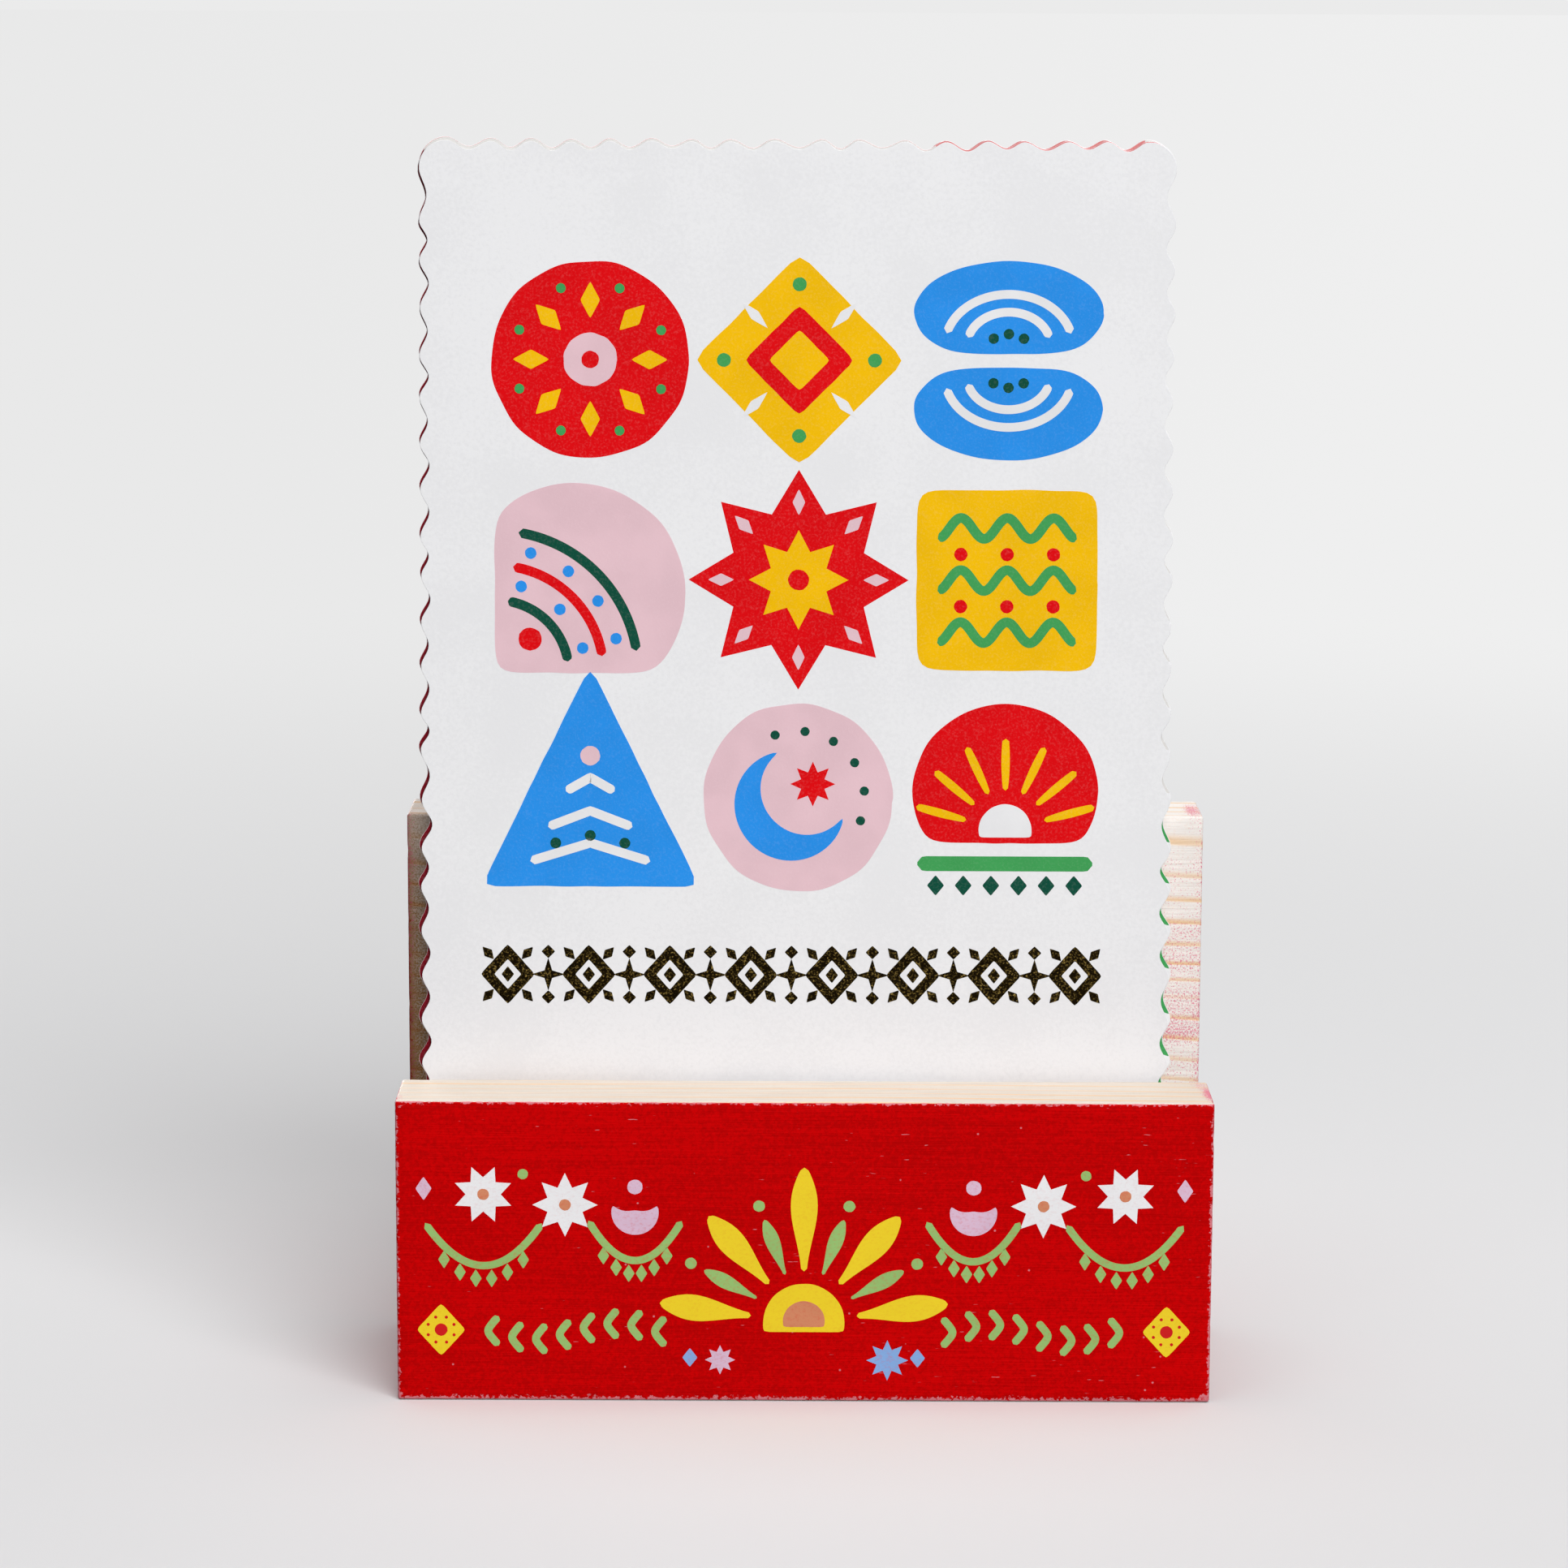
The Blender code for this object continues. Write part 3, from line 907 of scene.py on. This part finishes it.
def paper_body(name, node, number, material, looks):
    """One card: its outline carried through a profile that runs from the middle of the face to the
    cut edge, round it and back to the middle of the other side."""
    _, _, _, width, height, thickness = card_frame(node)
    outline = die_outline(width, height, looks)
    place = card_place(node, number)
    half = np.array([width, height]) / 2
    profile = [(CARD_RIM, 0.0), (CUT_ROUND, 0.0), (0.0, -CUT_ROUND), (0.0, CUT_ROUND - thickness)]
    profile += [(CUT_ROUND, -thickness), (CARD_RIM, -thickness)]
    rings = [raised(outline * (1 - inset / half), level) for inset, level in profile]
    points = np.vstack([*rings, [0.0, 0.0, 0.0], [0.0, 0.0, -thickness]])
    count, total = len(outline), len(profile) * len(outline)
    face = fan_faces(count, 0, total)
    back = fan_faces(count, total - count, total + 1)[:, [0, 2, 1]]
    quads = strip_faces(len(profile), count)
    faces = face.tolist() + back.tolist() + quads.tolist()
    card = make_object(name, place(points), faces, material)
    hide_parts(node)
    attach(card, node)
    return card


def cover_tiles(sheets):
    """The cover's design: nine hand-cut shapes, three by three, each with its own small motifs."""
    columns, rows = (-35.6, 0.4, 36.4), (54.6, 16.8, -21.0)
    span = 16.4

    def spot(column, row):
        return np.array([columns[column], rows[row]])

    def put(ink, outline, away=(0.0, 0.0), layer=1):
        sheets[ink].plate(outline + centre + away, layer)

    # Red disc with a pink eye, eight yellow lozenges and green dots.
    centre = spot(0, 0)
    put("red", hand_cut(disc=span + 0.6, seed=1.0, rough=0.02), layer=0)
    put("pink", hand_cut(disc=4.6, seed=2.0, rough=0.03))
    put("red", dot(3.0, seed=2.0), layer=2)
    for number in range(8):
        angle = number * 45.0
        put("yellow", turned(diamond(3.4, 6.4, seed=number), angle - 90.0), spoke(10.2, angle))
        put("green", dot(1.7, seed=number + 9.0), spoke(13.2, angle + 22.5))

    # Yellow square on its corner, with a red and a yellow one inside it, green dots and white bars.
    centre = spot(1, 0)
    for layer, (ink, size) in enumerate((("yellow", 36.5), ("red", 19.0), ("yellow", 10.5))):
        put(ink, diamond(size, size, seed=size, softness=18), layer=layer)
    for number in range(4):
        angle = number * 90.0
        put("green", dot(2.4, seed=number), spoke(13.0, angle))
        bar = turned(diamond(1.8, 6.6, seed=number), angle - 45.0)
        put("white", bar, spoke(10.9, angle + 45.0))

    # Blue half disc over a blue bowl, with white arcs and dark green dots.
    centre = spot(2, 0)
    for facing in (1, -1):
        half = hand_cut([(-90 * facing, 7.2)], disc=8.8, softness=12, seed=facing + 3.0)
        put("blue", half * (1.85, 1.0), (0.0, 8.3 * facing), layer=0)
        for radius in (11.0, 7.2):
            bow = arc(radius, 14, 166) * (1.0, 0.80 * facing) + centre + (0.0, 2.6 * facing)
            sheets["white"].ribbon(bow, 1.5, layer=1)
        for x in (-2.6, 0.0, 2.6):
            put("dark_green", dot(1.8, seed=x), (x, (4.6 - 0.3 * abs(x)) * facing))

    # Pink quarter disc with dark green and red arcs, and blue dots between them.
    centre = spot(0, 1)
    fan = hand_cut([(180, 12.4), (-90, 12.4)], disc=17.0, softness=18, seed=5.0)
    put("pink", fan * 1.12, (-2.6, -2.4), layer=0)
    centre = centre + (-16.2, -16.2)
    for ink, radius in (("dark_green", 12.5), ("red", 18.5), ("dark_green", 24.5)):
        sheets[ink].ribbon(arc(radius, 9, 81, 50) + centre, 1.7, layer=1)
    for radius, count in ((15.5, 3), (21.5, 4)):
        for angle in np.linspace(16, 74, count):
            put("blue", dot(2.0, seed=angle), spoke(radius, angle))
    put("red", dot(4.0, seed=5.0), (5.8, 5.8))

    # Red eight-pointed star with a yellow one and pink lozenges inside it.
    centre = spot(1, 1)
    put("red", star(8, 19.0, 12.2), layer=0)
    put("yellow", star(8, 8.6, 5.2))
    put("red", dot(3.6, seed=6.0), layer=2)
    for number in range(8):
        angle = number * 45.0
        put("pink", turned(diamond(2.2, 4.6, seed=number), angle - 90.0), spoke(13.4, angle))

    # Yellow rounded square with green waves and red dots.
    centre = spot(2, 1)
    block = hand_cut([(a, 15.6) for a in (0, 90, 180, 270)], softness=11, seed=7.0)
    put("yellow", block, layer=0)
    for height in (-9.0, 0.0, 9.0):
        sheets["green"].ribbon(wave(24.0, 3.6, 3) + centre + (0.0, height), 1.7, layer=1)
    for height in (-4.5, 4.5):
        for x in (-8.0, 0.0, 8.0):
            put("red", dot(2.3, seed=x), (x, height))

    # Blue rounded triangle with white chevrons, dark green dots and a pink one.
    centre = spot(0, 2)
    sides = [(-90, 13.4), (27.5, 10.6), (152.5, 10.6)]
    peak = hand_cut(sides, softness=15, seed=8.0) * (1.0, 1.06) + centre + (0.0, -1.4)
    sheets["blue"].plate(peak, centre=centre + (0.0, -3.0))
    share = np.linspace(-1.0, 1.0, 41)
    for number, level in enumerate((-11.2, -5.2, 1.0)):
        reach, lift = 10.4 - number * 3.1, 3.2 - 0.4 * number
        chevron = np.column_stack([reach * share, lift * (1 - np.abs(share))])
        sheets["white"].ribbon(chevron + centre + (0.0, level), 1.6, layer=1)
    for x in (-6.0, 0.0, 6.0):
        put("dark_green", dot(1.9, seed=x), (x, -6.7 - abs(x) * 0.22))
    put("pink", dot(3.4, seed=3.3), (0.0, 7.2))

    # Pink disc with a blue crescent, a red star and dark green dots.
    centre = spot(1, 2)
    put("pink", hand_cut(disc=span, seed=9.0, rough=0.02), layer=0)
    moon = arc(8.6, 115.0, 335.0, 60) + centre
    sheets["blue"].ribbon(moon, moon_width(5.4, len(moon)), layer=1)
    put("red", star(8, 3.9, 2.2, turn=0.0), (2.6, 2.4))
    for angle in range(-20, 111, 26):
        put("dark_green", dot(1.6, seed=angle), spoke(11.6, angle))

    # Red half disc with a white eye and yellow rays, over a green bar with lozenges.
    centre = spot(2, 2)
    dome = hand_cut([(-90, 9.0)], disc=15.2, softness=14, seed=10.0) * (1.06, 1.0)
    sheets["red"].plate(dome + centre + (0.0, 1.2), centre=centre)
    middle = centre + (0.0, -5.6)
    sheets["white"].plate(hand_cut([(-90, 1.2)], disc=4.6, softness=12, seed=11.0) + middle, 1)
    share = np.linspace(0.0, 1.0, 24)
    for angle in np.linspace(15, 165, 7):
        ray = middle + spoke(1.0, angle) * (7.0 + 9.0 * share)[:, None]
        sheets["yellow"].ribbon(ray, 0.8 + 2.0 * share * (1.15 - share), layer=1)
    sheets["green"].ribbon(level_line(15.2, 40) + centre + (0.0, -11.4), 2.6, blunt=0.2)
    for x in np.linspace(-12.0, 12.0, 6):
        put("dark_green", diamond(3.0, 3.6, seed=x), (x, -15.2), layer=0)


def foil_band(sheet):
    """A printer's ornament in foil: a chain of open lozenges with spurs, and small four-pointed
    stars between dots."""
    centre = np.array([-0.6, -52.0])
    units, pitch = 8, 14.1
    start = -(units - 1) / 2 * pitch
    for number in range(units):
        middle = centre + (start + number * pitch, 0.0)
        outer = diamond(9.4, 10.6, softness=24)
        sheet.ring(outer + middle, outer * 0.50 + middle)
        sheet.plate(diamond(2.2, 2.8) + middle)
        for side in (-1, 1):
            for level in (-1, 1):
                spur = turned(diamond(1.7, 3.0, softness=16), side * level * -42.0)
                sheet.plate(spur + middle + (side * 3.4, level * 3.7), layer=1)
        if number < units - 1:
            between = middle + (pitch / 2, 0.0)
            sheet.plate(star(4, 2.9, 0.95) + between)
            for level in (-1, 1):
                sheet.plate(diamond(2.4, 2.4, softness=12) + between + (0.0, 4.0 * level))


@cache
def numeral(digit):
    """The points and faces of one digit, one unit tall, from Blender's own font. Its flat caps are
    joined to its walls, and its faces come as one array for each number of corners."""
    curve = bpy.data.curves.new("digit", "FONT")
    curve.body = digit
    curve.resolution_u = 3
    curve.extrude = 0.01
    holder = bpy.data.objects.new("digit", curve)
    bpy.context.scene.collection.objects.link(holder)
    bpy.context.view_layer.update()
    evaluated = holder.evaluated_get(bpy.context.evaluated_depsgraph_get())
    mesh = bpy.data.meshes.new_from_object(evaluated)
    shape = bmesh.new()
    shape.from_mesh(mesh)
    bmesh.ops.remove_doubles(shape, verts=shape.verts[:], dist=1e-5)
    shape.to_mesh(mesh)
    shape.free()
    points = np.empty(3 * len(mesh.vertices), np.float32)
    mesh.vertices.foreach_get("co", points)
    points = points.reshape(-1, 3).astype(float)
    corners = np.empty(len(mesh.loops), np.int32)
    mesh.loops.foreach_get("vertex_index", corners)
    starts = np.empty(len(mesh.polygons), np.int32)
    mesh.polygons.foreach_get("loop_start", starts)
    sizes = np.diff(starts, append=len(corners))
    faces = [corners[starts[sizes == n][:, None] + np.arange(n)] for n in np.unique(sizes)]
    bpy.data.objects.remove(holder, do_unlink=True)
    bpy.data.curves.remove(curve)
    bpy.data.meshes.remove(mesh)
    points[:, 0] -= (points[:, 0].min() + points[:, 0].max()) / 2
    return points, faces


def write_number(sheet, value, x, y, size, layer=0):
    """Prints a plain whole number with its middle at x and its foot at y, in millimetres."""
    digits = str(value)
    for place, digit in enumerate(digits):
        points, faces = numeral(digit)
        shift = (place - (len(digits) - 1) / 2) * size * DIGIT_SPACING
        level = np.where(points[:, 2] > 0, INK_LAYERS[layer], INK_FOOT)
        sheet.add(np.column_stack([points[:, :2] * size + (x + shift, y), level]), *faces)


def month_border(sheets, looks, width, height):
    """The border of one month card, which runs off its edge. Over it, the right side is white with a
    leaf on each wave, the left side is darker as painted shade, and the top is paler as painted
    light, with a blush towards the right."""
    outline = die_outline(width, height, looks)
    half = np.array([width, height]) / 2
    border = looks.border_width / MM
    circle = 2 * np.pi
    rim = outline * (1 - BORDER_INSET / half)
    around = np.mod(np.arctan2(rim[:, 1], rim[:, 0]), circle)
    rim, around = rim[np.argsort(around)], np.sort(around)
    frame_line = slab(*(half - border), softness=60, count=len(rim))
    angles = np.mod(np.arctan2(frame_line[:, 1], frame_line[:, 0]), circle)
    reach = np.interp(around, angles, np.hypot(*frame_line.T), period=circle)
    inner = np.column_stack([reach * np.cos(around), reach * np.sin(around)])
    sheets["border"].ring(rim, inner)

    right, top, left = (side * (1 - SIDE_INSET / half) for side in outline_sides(outline))
    turning = len(top) * 3 // 10
    across, up = (border + SIDE_OVERLAP, 0.0), (0.0, border + SIDE_OVERLAP)
    # The dark left band is painted shade, and the pale top with its blush is painted light.
    bands = [("white", right, across), ("shade", left, across)]
    bands += [("blush", top[: turning + 1], up), ("pale", top[turning:], up)]
    for ink, side, inwards in bands:
        sheets[ink].band(side, side * (1 - inwards / half), layer=1)
    for start in range(1, len(right) - 9, WAVE_POINTS):
        leaf = right[start : start + 8]
        depth = LEAF_DEPTH * np.sin(np.linspace(0.06, np.pi - 0.06, len(leaf)))[:, None]
        ink = "accent" if leaf[0, 1] < -21 else "pale"
        sheets[ink].band(leaf * (1 - 0.02 / half), leaf - depth * (1.0, 0.0), layer=2)


def month_print(number, sheets, looks, width, height):
    """What is printed inside a month card's border: a band with the month's number, and a grid of
    plain day numbers that starts on another column each month."""
    border = looks.border_width / MM
    half = np.array([width, height]) / 2
    band_y = half[1] - border - 17.0
    sheets["band"].plate(slab(half[0] - border - 5, 12.0, 30, 160) + (0.0, band_y))
    write_number(sheets["white"], number, 0.0, band_y - 6.6, 18.0, layer=1)
    for side in (-1, 1):
        for step in range(4):
            motif = dot(3.6, seed=step) if step % 2 else diamond(5.0, 8.5, seed=step)
            sheets["white"].plate(motif + (side * (16.0 + step * 9.5), band_y), layer=1)

    first = sum(MONTH_DAYS[: number - 1]) % 7
    column, row = 15.6, 17.2
    top = band_y - 31.0
    for day in range(MONTH_DAYS[number - 1]):
        down, along = divmod(first + day, 7)
        write_number(sheets["numbers"], day + 1, (along - 3) * column, top - down * row, 8.0)
    for line in range(7):
        level = top + row - 4.6 - line * row
        if level > -half[1] + border + 3:
            sheets["rules"].ribbon(level_line(54.0, 30, level), 0.35, blunt=1.0)


# The stage


def seen_directly(node):
    """1 for rays from the camera, from mirrors and through glass, and 0 for the light's own way."""
    path = node("LightPath")
    rays = [(path, "Is Camera Ray"), (path, "Is Glossy Ray")]
    seen = node("Math", rays, operation="MAXIMUM")
    return node("Math", [seen, (path, "Is Transmission Ray")], operation="MAXIMUM")


def floor_material(looks):
    """Matt paper floor, with a painted shade that makes it a little darker in front. Near the object
    it is lit and shaded like paper, and throws less light back than it shows. Far behind, it fades
    into the pale background, which has a painted light that makes it a little brighter on the
    right. Both of these hold only for the camera and for mirrors."""
    material, node = start_material("matt_paper_floor")
    place = (node("TexCoord"), "Object")
    distance = (node("VectorMath", [place], operation="LENGTH"), "Value")
    far = node("MapRange", [distance, 0.14, 1.0], **SOFT_STEP)
    seen = seen_directly(node)
    parts = node("SeparateXYZ", [place])
    # Painted shade: the floor's colour darkens towards the front.
    front = node("MapRange", [(parts, "Y"), -0.12, 0.06], **SOFT_STEP)
    tones = {0: front, 6: tone(looks.floor, -0.07), 7: tone(looks.floor)}
    floor_with_painted_shade = node("Mix", tones, data_type="RGBA")
    paper = {0: seen, 6: tone(looks.floor_bounce), 7: (floor_with_painted_shade, 2)}
    finish = {"Base Color": (node("Mix", paper, data_type="RGBA"), 2), "Roughness": 0.9}
    shader = node("BsdfPrincipled", {**finish, "Specular IOR Level": 0.1})
    # Painted light: the background's colour brightens towards the right.
    aside = node("Math", [(parts, "X"), distance], operation="DIVIDE")
    right = node("MapRange", [aside, -0.2, 0.2], **SOFT_STEP)
    backdrop_with_painted_light = {0: right, 6: tone(looks.backdrop, -0.02), 7: tone(looks.backdrop, 0.19)}
    glow = node("Emission", {"Color": (node("Mix", backdrop_with_painted_light, data_type="RGBA"), 2), "Strength": 1.0})
    factor = node("Math", [far, seen], operation="MULTIPLY")
    node("OutputMaterial", {"Surface": node("MixShader", [factor, shader, glow])})
    return material


def add_area_light(name, direction, distance, size, power):
    """A square soft light that faces the calendar. Its direction is the angle from the front to the
    right and the angle above the floor, in degrees."""
    data = bpy.data.lights.new(name, "AREA")
    data.shape = "SQUARE"
    data.size = size
    data.energy = power
    lamp = bpy.data.objects.new(name, data)
    turn, rise = (math.radians(a) for a in direction)
    level = math.cos(rise)
    aim = np.array([math.sin(turn) * level, -math.cos(turn) * level, math.sin(rise)])
    lamp.location = aim * distance + (0.0, 0.0, AIM_HEIGHT)
    lamp.rotation_euler = Euler((math.pi / 2 - rise, 0.0, turn))
    bpy.context.scene.collection.objects.link(lamp)
    return lamp


def keep_off_floor(lamp, floor):
    """Leaves the floor out of what the lamp lights, so that the calendar's back is lit as plainly as
    its front without a second shadow on the floor."""
    unlit = bpy.data.collections.new("floor_without_back_light")
    unlit.objects.link(floor)
    unlit.collection_objects[0].light_linking.link_state = "EXCLUDE"
    lamp.light_linking.receiver_collection = unlit


def add_world(looks):
    """An even pale surround, which also lights the scene from all sides. The camera and mirrors see
    the background's own colour instead of the weaker light."""
    world = bpy.data.worlds.new("pale_studio")
    bpy.context.scene.world = world
    world.use_nodes = True
    world.node_tree.nodes.clear()
    node = partial(add_node, world.node_tree)
    light = node("Background", [[1.0, 1.0, 1.0, 1.0], looks.fill_strength])
    view = node("Background", [tone(looks.backdrop), 1.0])
    node("OutputWorld", {"Surface": node("MixShader", [seen_directly(node), light, view])})


def add_camera():
    """The photograph's view, found by fitting a camera to the corners of both boards."""
    data = bpy.data.cameras.new("photo_camera")
    data.sensor_width = SENSOR_WIDTH
    data.lens = FOCAL_PIXELS / PHOTO_SIDE * data.sensor_width
    camera = bpy.data.objects.new("photo_camera", data)
    pitch, turn, roll = (math.radians(a) for a in CAMERA_ANGLES)
    look = Euler((math.pi / 2 - pitch, 0.0, turn)).to_matrix() @ Euler((0.0, 0.0, roll)).to_matrix()
    camera.rotation_euler = look.to_euler()
    camera.location = CAMERA_PLACE
    bpy.context.scene.collection.objects.link(camera)
    bpy.context.scene.camera = camera


# Operators


class CALENDAR_OT_stand(bpy.types.Operator):
    """Build the three pine boards of the stand over their nodes"""

    bl_idname = "calendar.stand"
    bl_label = "Build stand"

    def execute(self, context):
        looks = context.scene.calendar_stand
        # A painted side is (axis, sign), and a blot's middle and reaches are in millimetres.
        front, back, left, right = (1, -1), (1, 1), (0, -1), (0, 1)
        top_blots = (
            ("overspray", (68.7, -11, 53), (1.0, 4.0, 3), 0.60),
            ("overspray", (69.4, -17, 53), (1.1, 5.5, 3), 0.80),
            ("overspray", (-70.6, -22, 53), (1.8, 3, 3), 0.5),
            ("edge_mm", (0, -24, 0), (400, 3, 2), -0.75),
        )
        back_blots = (
            ("overspray", (68.6, 14, 97), (1.6, 7, 3), 0.66),
            ("overspray", (65.0, 8, 58.4), (14, 3, 3.4), 0.47),
            ("overspray", (65.0, 8, 68), (16, 3, 24), 0.30),
            ("overspray", (70.3, 8, 60), (1.8, 3, 70), 0.38),
            ("overspray", (-70.0, 8, 60), (1.3, 3, 70), 0.45),
            ("paint", (-70.3, 8, 60), (1.2, 3, 70), 0.62),
            ("paint", (70.2, 8, 60), (0.7, 0.7, 400), -0.9),
            # Painted shade on the back board's left end, on its front face and its top, where the
            # cards' shadow falls.
            ("stain", (-70, 8, 47), (8, 2.2, 75), 1.0),
            ("stain", (-70, 16, 97), (6, 9, 2), 0.45),
        )
        # The two woods are one pine, darker and paler copies: painted shade on the front board,
        # painted light on the back board.
        front_wood, back_wood = list(looks.front_wood), list(looks.back_wood)
        # The ends were painted after gluing, so the paint fills the lines between the boards.
        filled = ("edge_mm", (3, 1.6, 14), 2.0), ("paint", (3, 0.9, 17), 1.0)
        joints = [
            (title, (side * 70, y, 14), reach, strength)
            for title, reach, strength in filled
            for side in (-1, 1)
            for y in (-8, 8)
        ]
        top_blots += tuple(joints)
        back_blots += tuple(joints)
        boards = (
            ("front_board", (front, left, right), front_wood, (0.0, 0.30, 0.03), 0.0, top_blots),
            ("spacer_block", (left, right), front_wood, (0.0, 0.05, 0.01), 0.0, joints),
            ("back_board", (back, left, right), back_wood, (0.0, -0.038, -0.123), -4.0, back_blots),
        )
        for node, painted, pale, heart, turn, blots in boards:
            material = board_material(f"painted_pine_{node}", looks, pale, heart, turn)
            board = worn_board(f"{node}_wood", node, material, painted, blots, looks)
        return {"FINISHED"}


class CALENDAR_OT_border(bpy.types.Operator):
    """Print the small border of stars, swags and rays on the front board"""

    bl_idname = "calendar.border"
    bl_label = "Print border"

    def execute(self, context):
        inks = context.scene.calendar_print
        names = ("white", "yellow", "green", "lilac", "blue", "orange")
        colours = {ink: getattr(inks, f"rail_{ink}") for ink in names}
        colours["red"] = context.scene.calendar_stand.paint
        sheets = {ink: Sheet() for ink in colours}
        rail_middle(sheets)
        for side in (-1, 1):
            rail_half(sheets, side)
        for ink, sheet in sheets.items():
            mottle = 0.05 if ink in ("white", "yellow") else 0.12
            material = ink_material(
                f"screen_ink_on_pine_{ink}", list(colours[ink]), mottle, list(colours["red"])
            )
            piece = sheet.build(f"rail_print_{ink}", material, rail_place)
            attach(piece, "stand")
        return {"FINISHED"}


class CALENDAR_OT_cards(bpy.types.Operator):
    """Build the thirteen scalloped cards over their nodes"""

    bl_idname = "calendar.cards"
    bl_label = "Build cards"

    def execute(self, context):
        material = card_material(context.scene.calendar_print)
        looks = context.scene.calendar_cards
        for number, node in enumerate([COVER, *MONTH_CARDS]):
            card = paper_body(f"{node}_paper", node, number, material, looks)
        return {"FINISHED"}


class CALENDAR_OT_cover(bpy.types.Operator):
    """Print the cover's shapes and stamp its foil band"""

    bl_idname = "calendar.cover"
    bl_label = "Print cover"

    def execute(self, context):
        inks = context.scene.calendar_print
        names = ("red", "yellow", "blue", "pink", "green", "dark_green")
        colours = {ink: getattr(inks, ink) for ink in names}
        colours["white"] = inks.card
        sheets = {ink: Sheet() for ink in colours}
        cover_tiles(sheets)
        place = card_place(COVER, 0)
        foil = Sheet()
        foil_band(foil)
        pieces = [foil.build("cover_foil_band", foil_material(inks), place)]
        for ink, sheet in sheets.items():
            material = ink_material(f"matt_ink_on_card_{ink}", list(colours[ink]))
            pieces.append(sheet.build(f"cover_print_{ink}", material, place))
        for piece in pieces:
            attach(piece, COVER)
        return {"FINISHED"}


class CALENDAR_OT_months(bpy.types.Operator):
    """Print the border, the month's number and the day numbers on the twelve month cards"""

    bl_idname = "calendar.months"
    bl_label = "Print month cards"

    def execute(self, context):
        inks = context.scene.calendar_print
        looks = context.scene.calendar_cards
        strong = ("red", "green", "blue", "yellow", "pink", "rose", "maroon", "dark_green")
        made = {ink: ink_material(f"month_ink_{ink}", list(getattr(inks, ink))) for ink in strong}
        even = {"numbers": (inks.black, 0.05), "white": (inks.card, 0.03), "cream": (inks.cream, 0.03)}
        for ink, (colour, mottle) in even.items():
            made[ink] = ink_material(f"month_ink_{ink}", list(colour), mottle)
        for number, node in enumerate(MONTH_CARDS, start=1):
            _, _, _, width, height, _ = card_frame(node)
            sheets = {part: Sheet() for part in MONTH_PARTS}
            month_border(sheets, looks, width, height)
            month_print(number, sheets, looks, width, height)
            place = card_place(node, number)
            style = dict(zip(STYLED_PARTS, MONTH_STYLES[(number - 1) % len(MONTH_STYLES)]))
            style["pale"] = "cream"
            for part, sheet in sheets.items():
                piece = sheet.build(f"{node}_{part}", made[style.get(part, part)], place)
                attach(piece, node)
        return {"FINISHED"}


class CALENDAR_OT_stage(bpy.types.Operator):
    """Add the pale floor, the soft lights and the camera"""

    bl_idname = "calendar.stage"
    bl_label = "Set stage"

    def execute(self, context):
        looks = context.scene.calendar_stage
        corners = FLOOR_REACH * np.array([[-1, -1, 0], [1, -1, 0], [1, 1, 0], [-1, 1, 0]])
        floor = make_object("floor", corners, [[0, 1, 2, 3]], floor_material(looks))
        add_world(looks)
        add_area_light("window_light", (22.0, 32.0), 4.0, size=3.2, power=looks.key_power)
        add_area_light("ceiling_light", (0.0, 88.0), 4.2, size=3.6, power=looks.top_power)
        behind = (205.0, 8.0)
        back_light = add_area_light("back_light", behind, 4.0, size=1.2, power=looks.back_power)
        back_light.visible_camera = False
        keep_off_floor(back_light, floor)
        add_camera()
        context.scene.view_settings.view_transform = "Standard"
        return {"FINISHED"}


class CALENDAR_PT_panel(bpy.types.Panel):
    """Lists the calendar's sizes, colours and building steps"""

    bl_idname = "CALENDAR_PT_panel"
    bl_label = "Desk calendar"
    bl_space_type = "VIEW_3D"
    bl_region_type = "UI"
    bl_category = "Calendar"

    def draw(self, context):
        for group in GROUPS:
            box = self.layout.box()
            settings = getattr(context.scene, group)
            for name in settings.bl_rna.properties.keys():
                if name not in ("rna_type", "name"):
                    box.prop(settings, name)
        for operator in OPERATORS:
            self.layout.operator(operator.bl_idname)


GROUPS = {
    "calendar_stand": StandLooks,
    "calendar_print": PrintLooks,
    "calendar_cards": CardLooks,
    "calendar_stage": StageLooks,
}
OPERATORS = (
    CALENDAR_OT_stand,
    CALENDAR_OT_border,
    CALENDAR_OT_cards,
    CALENDAR_OT_cover,
    CALENDAR_OT_months,
    CALENDAR_OT_stage,
)


def register():
    for name, group in GROUPS.items():
        bpy.utils.register_class(group)
        setattr(bpy.types.Scene, name, PointerProperty(type=group))
    for operator in OPERATORS:
        bpy.utils.register_class(operator)
    bpy.utils.register_class(CALENDAR_PT_panel)


def unregister():
    bpy.utils.unregister_class(CALENDAR_PT_panel)
    for operator in reversed(OPERATORS):
        bpy.utils.unregister_class(operator)
    for name, group in GROUPS.items():
        delattr(bpy.types.Scene, name)
        bpy.utils.unregister_class(group)


def main():
    """Builds every piece in order."""
    register()
    bpy.ops.calendar.stand()
    bpy.ops.calendar.border()
    bpy.ops.calendar.cards()
    bpy.ops.calendar.cover()
    bpy.ops.calendar.months()
    bpy.ops.calendar.stage()


if __name__ == "__main__":
    main()
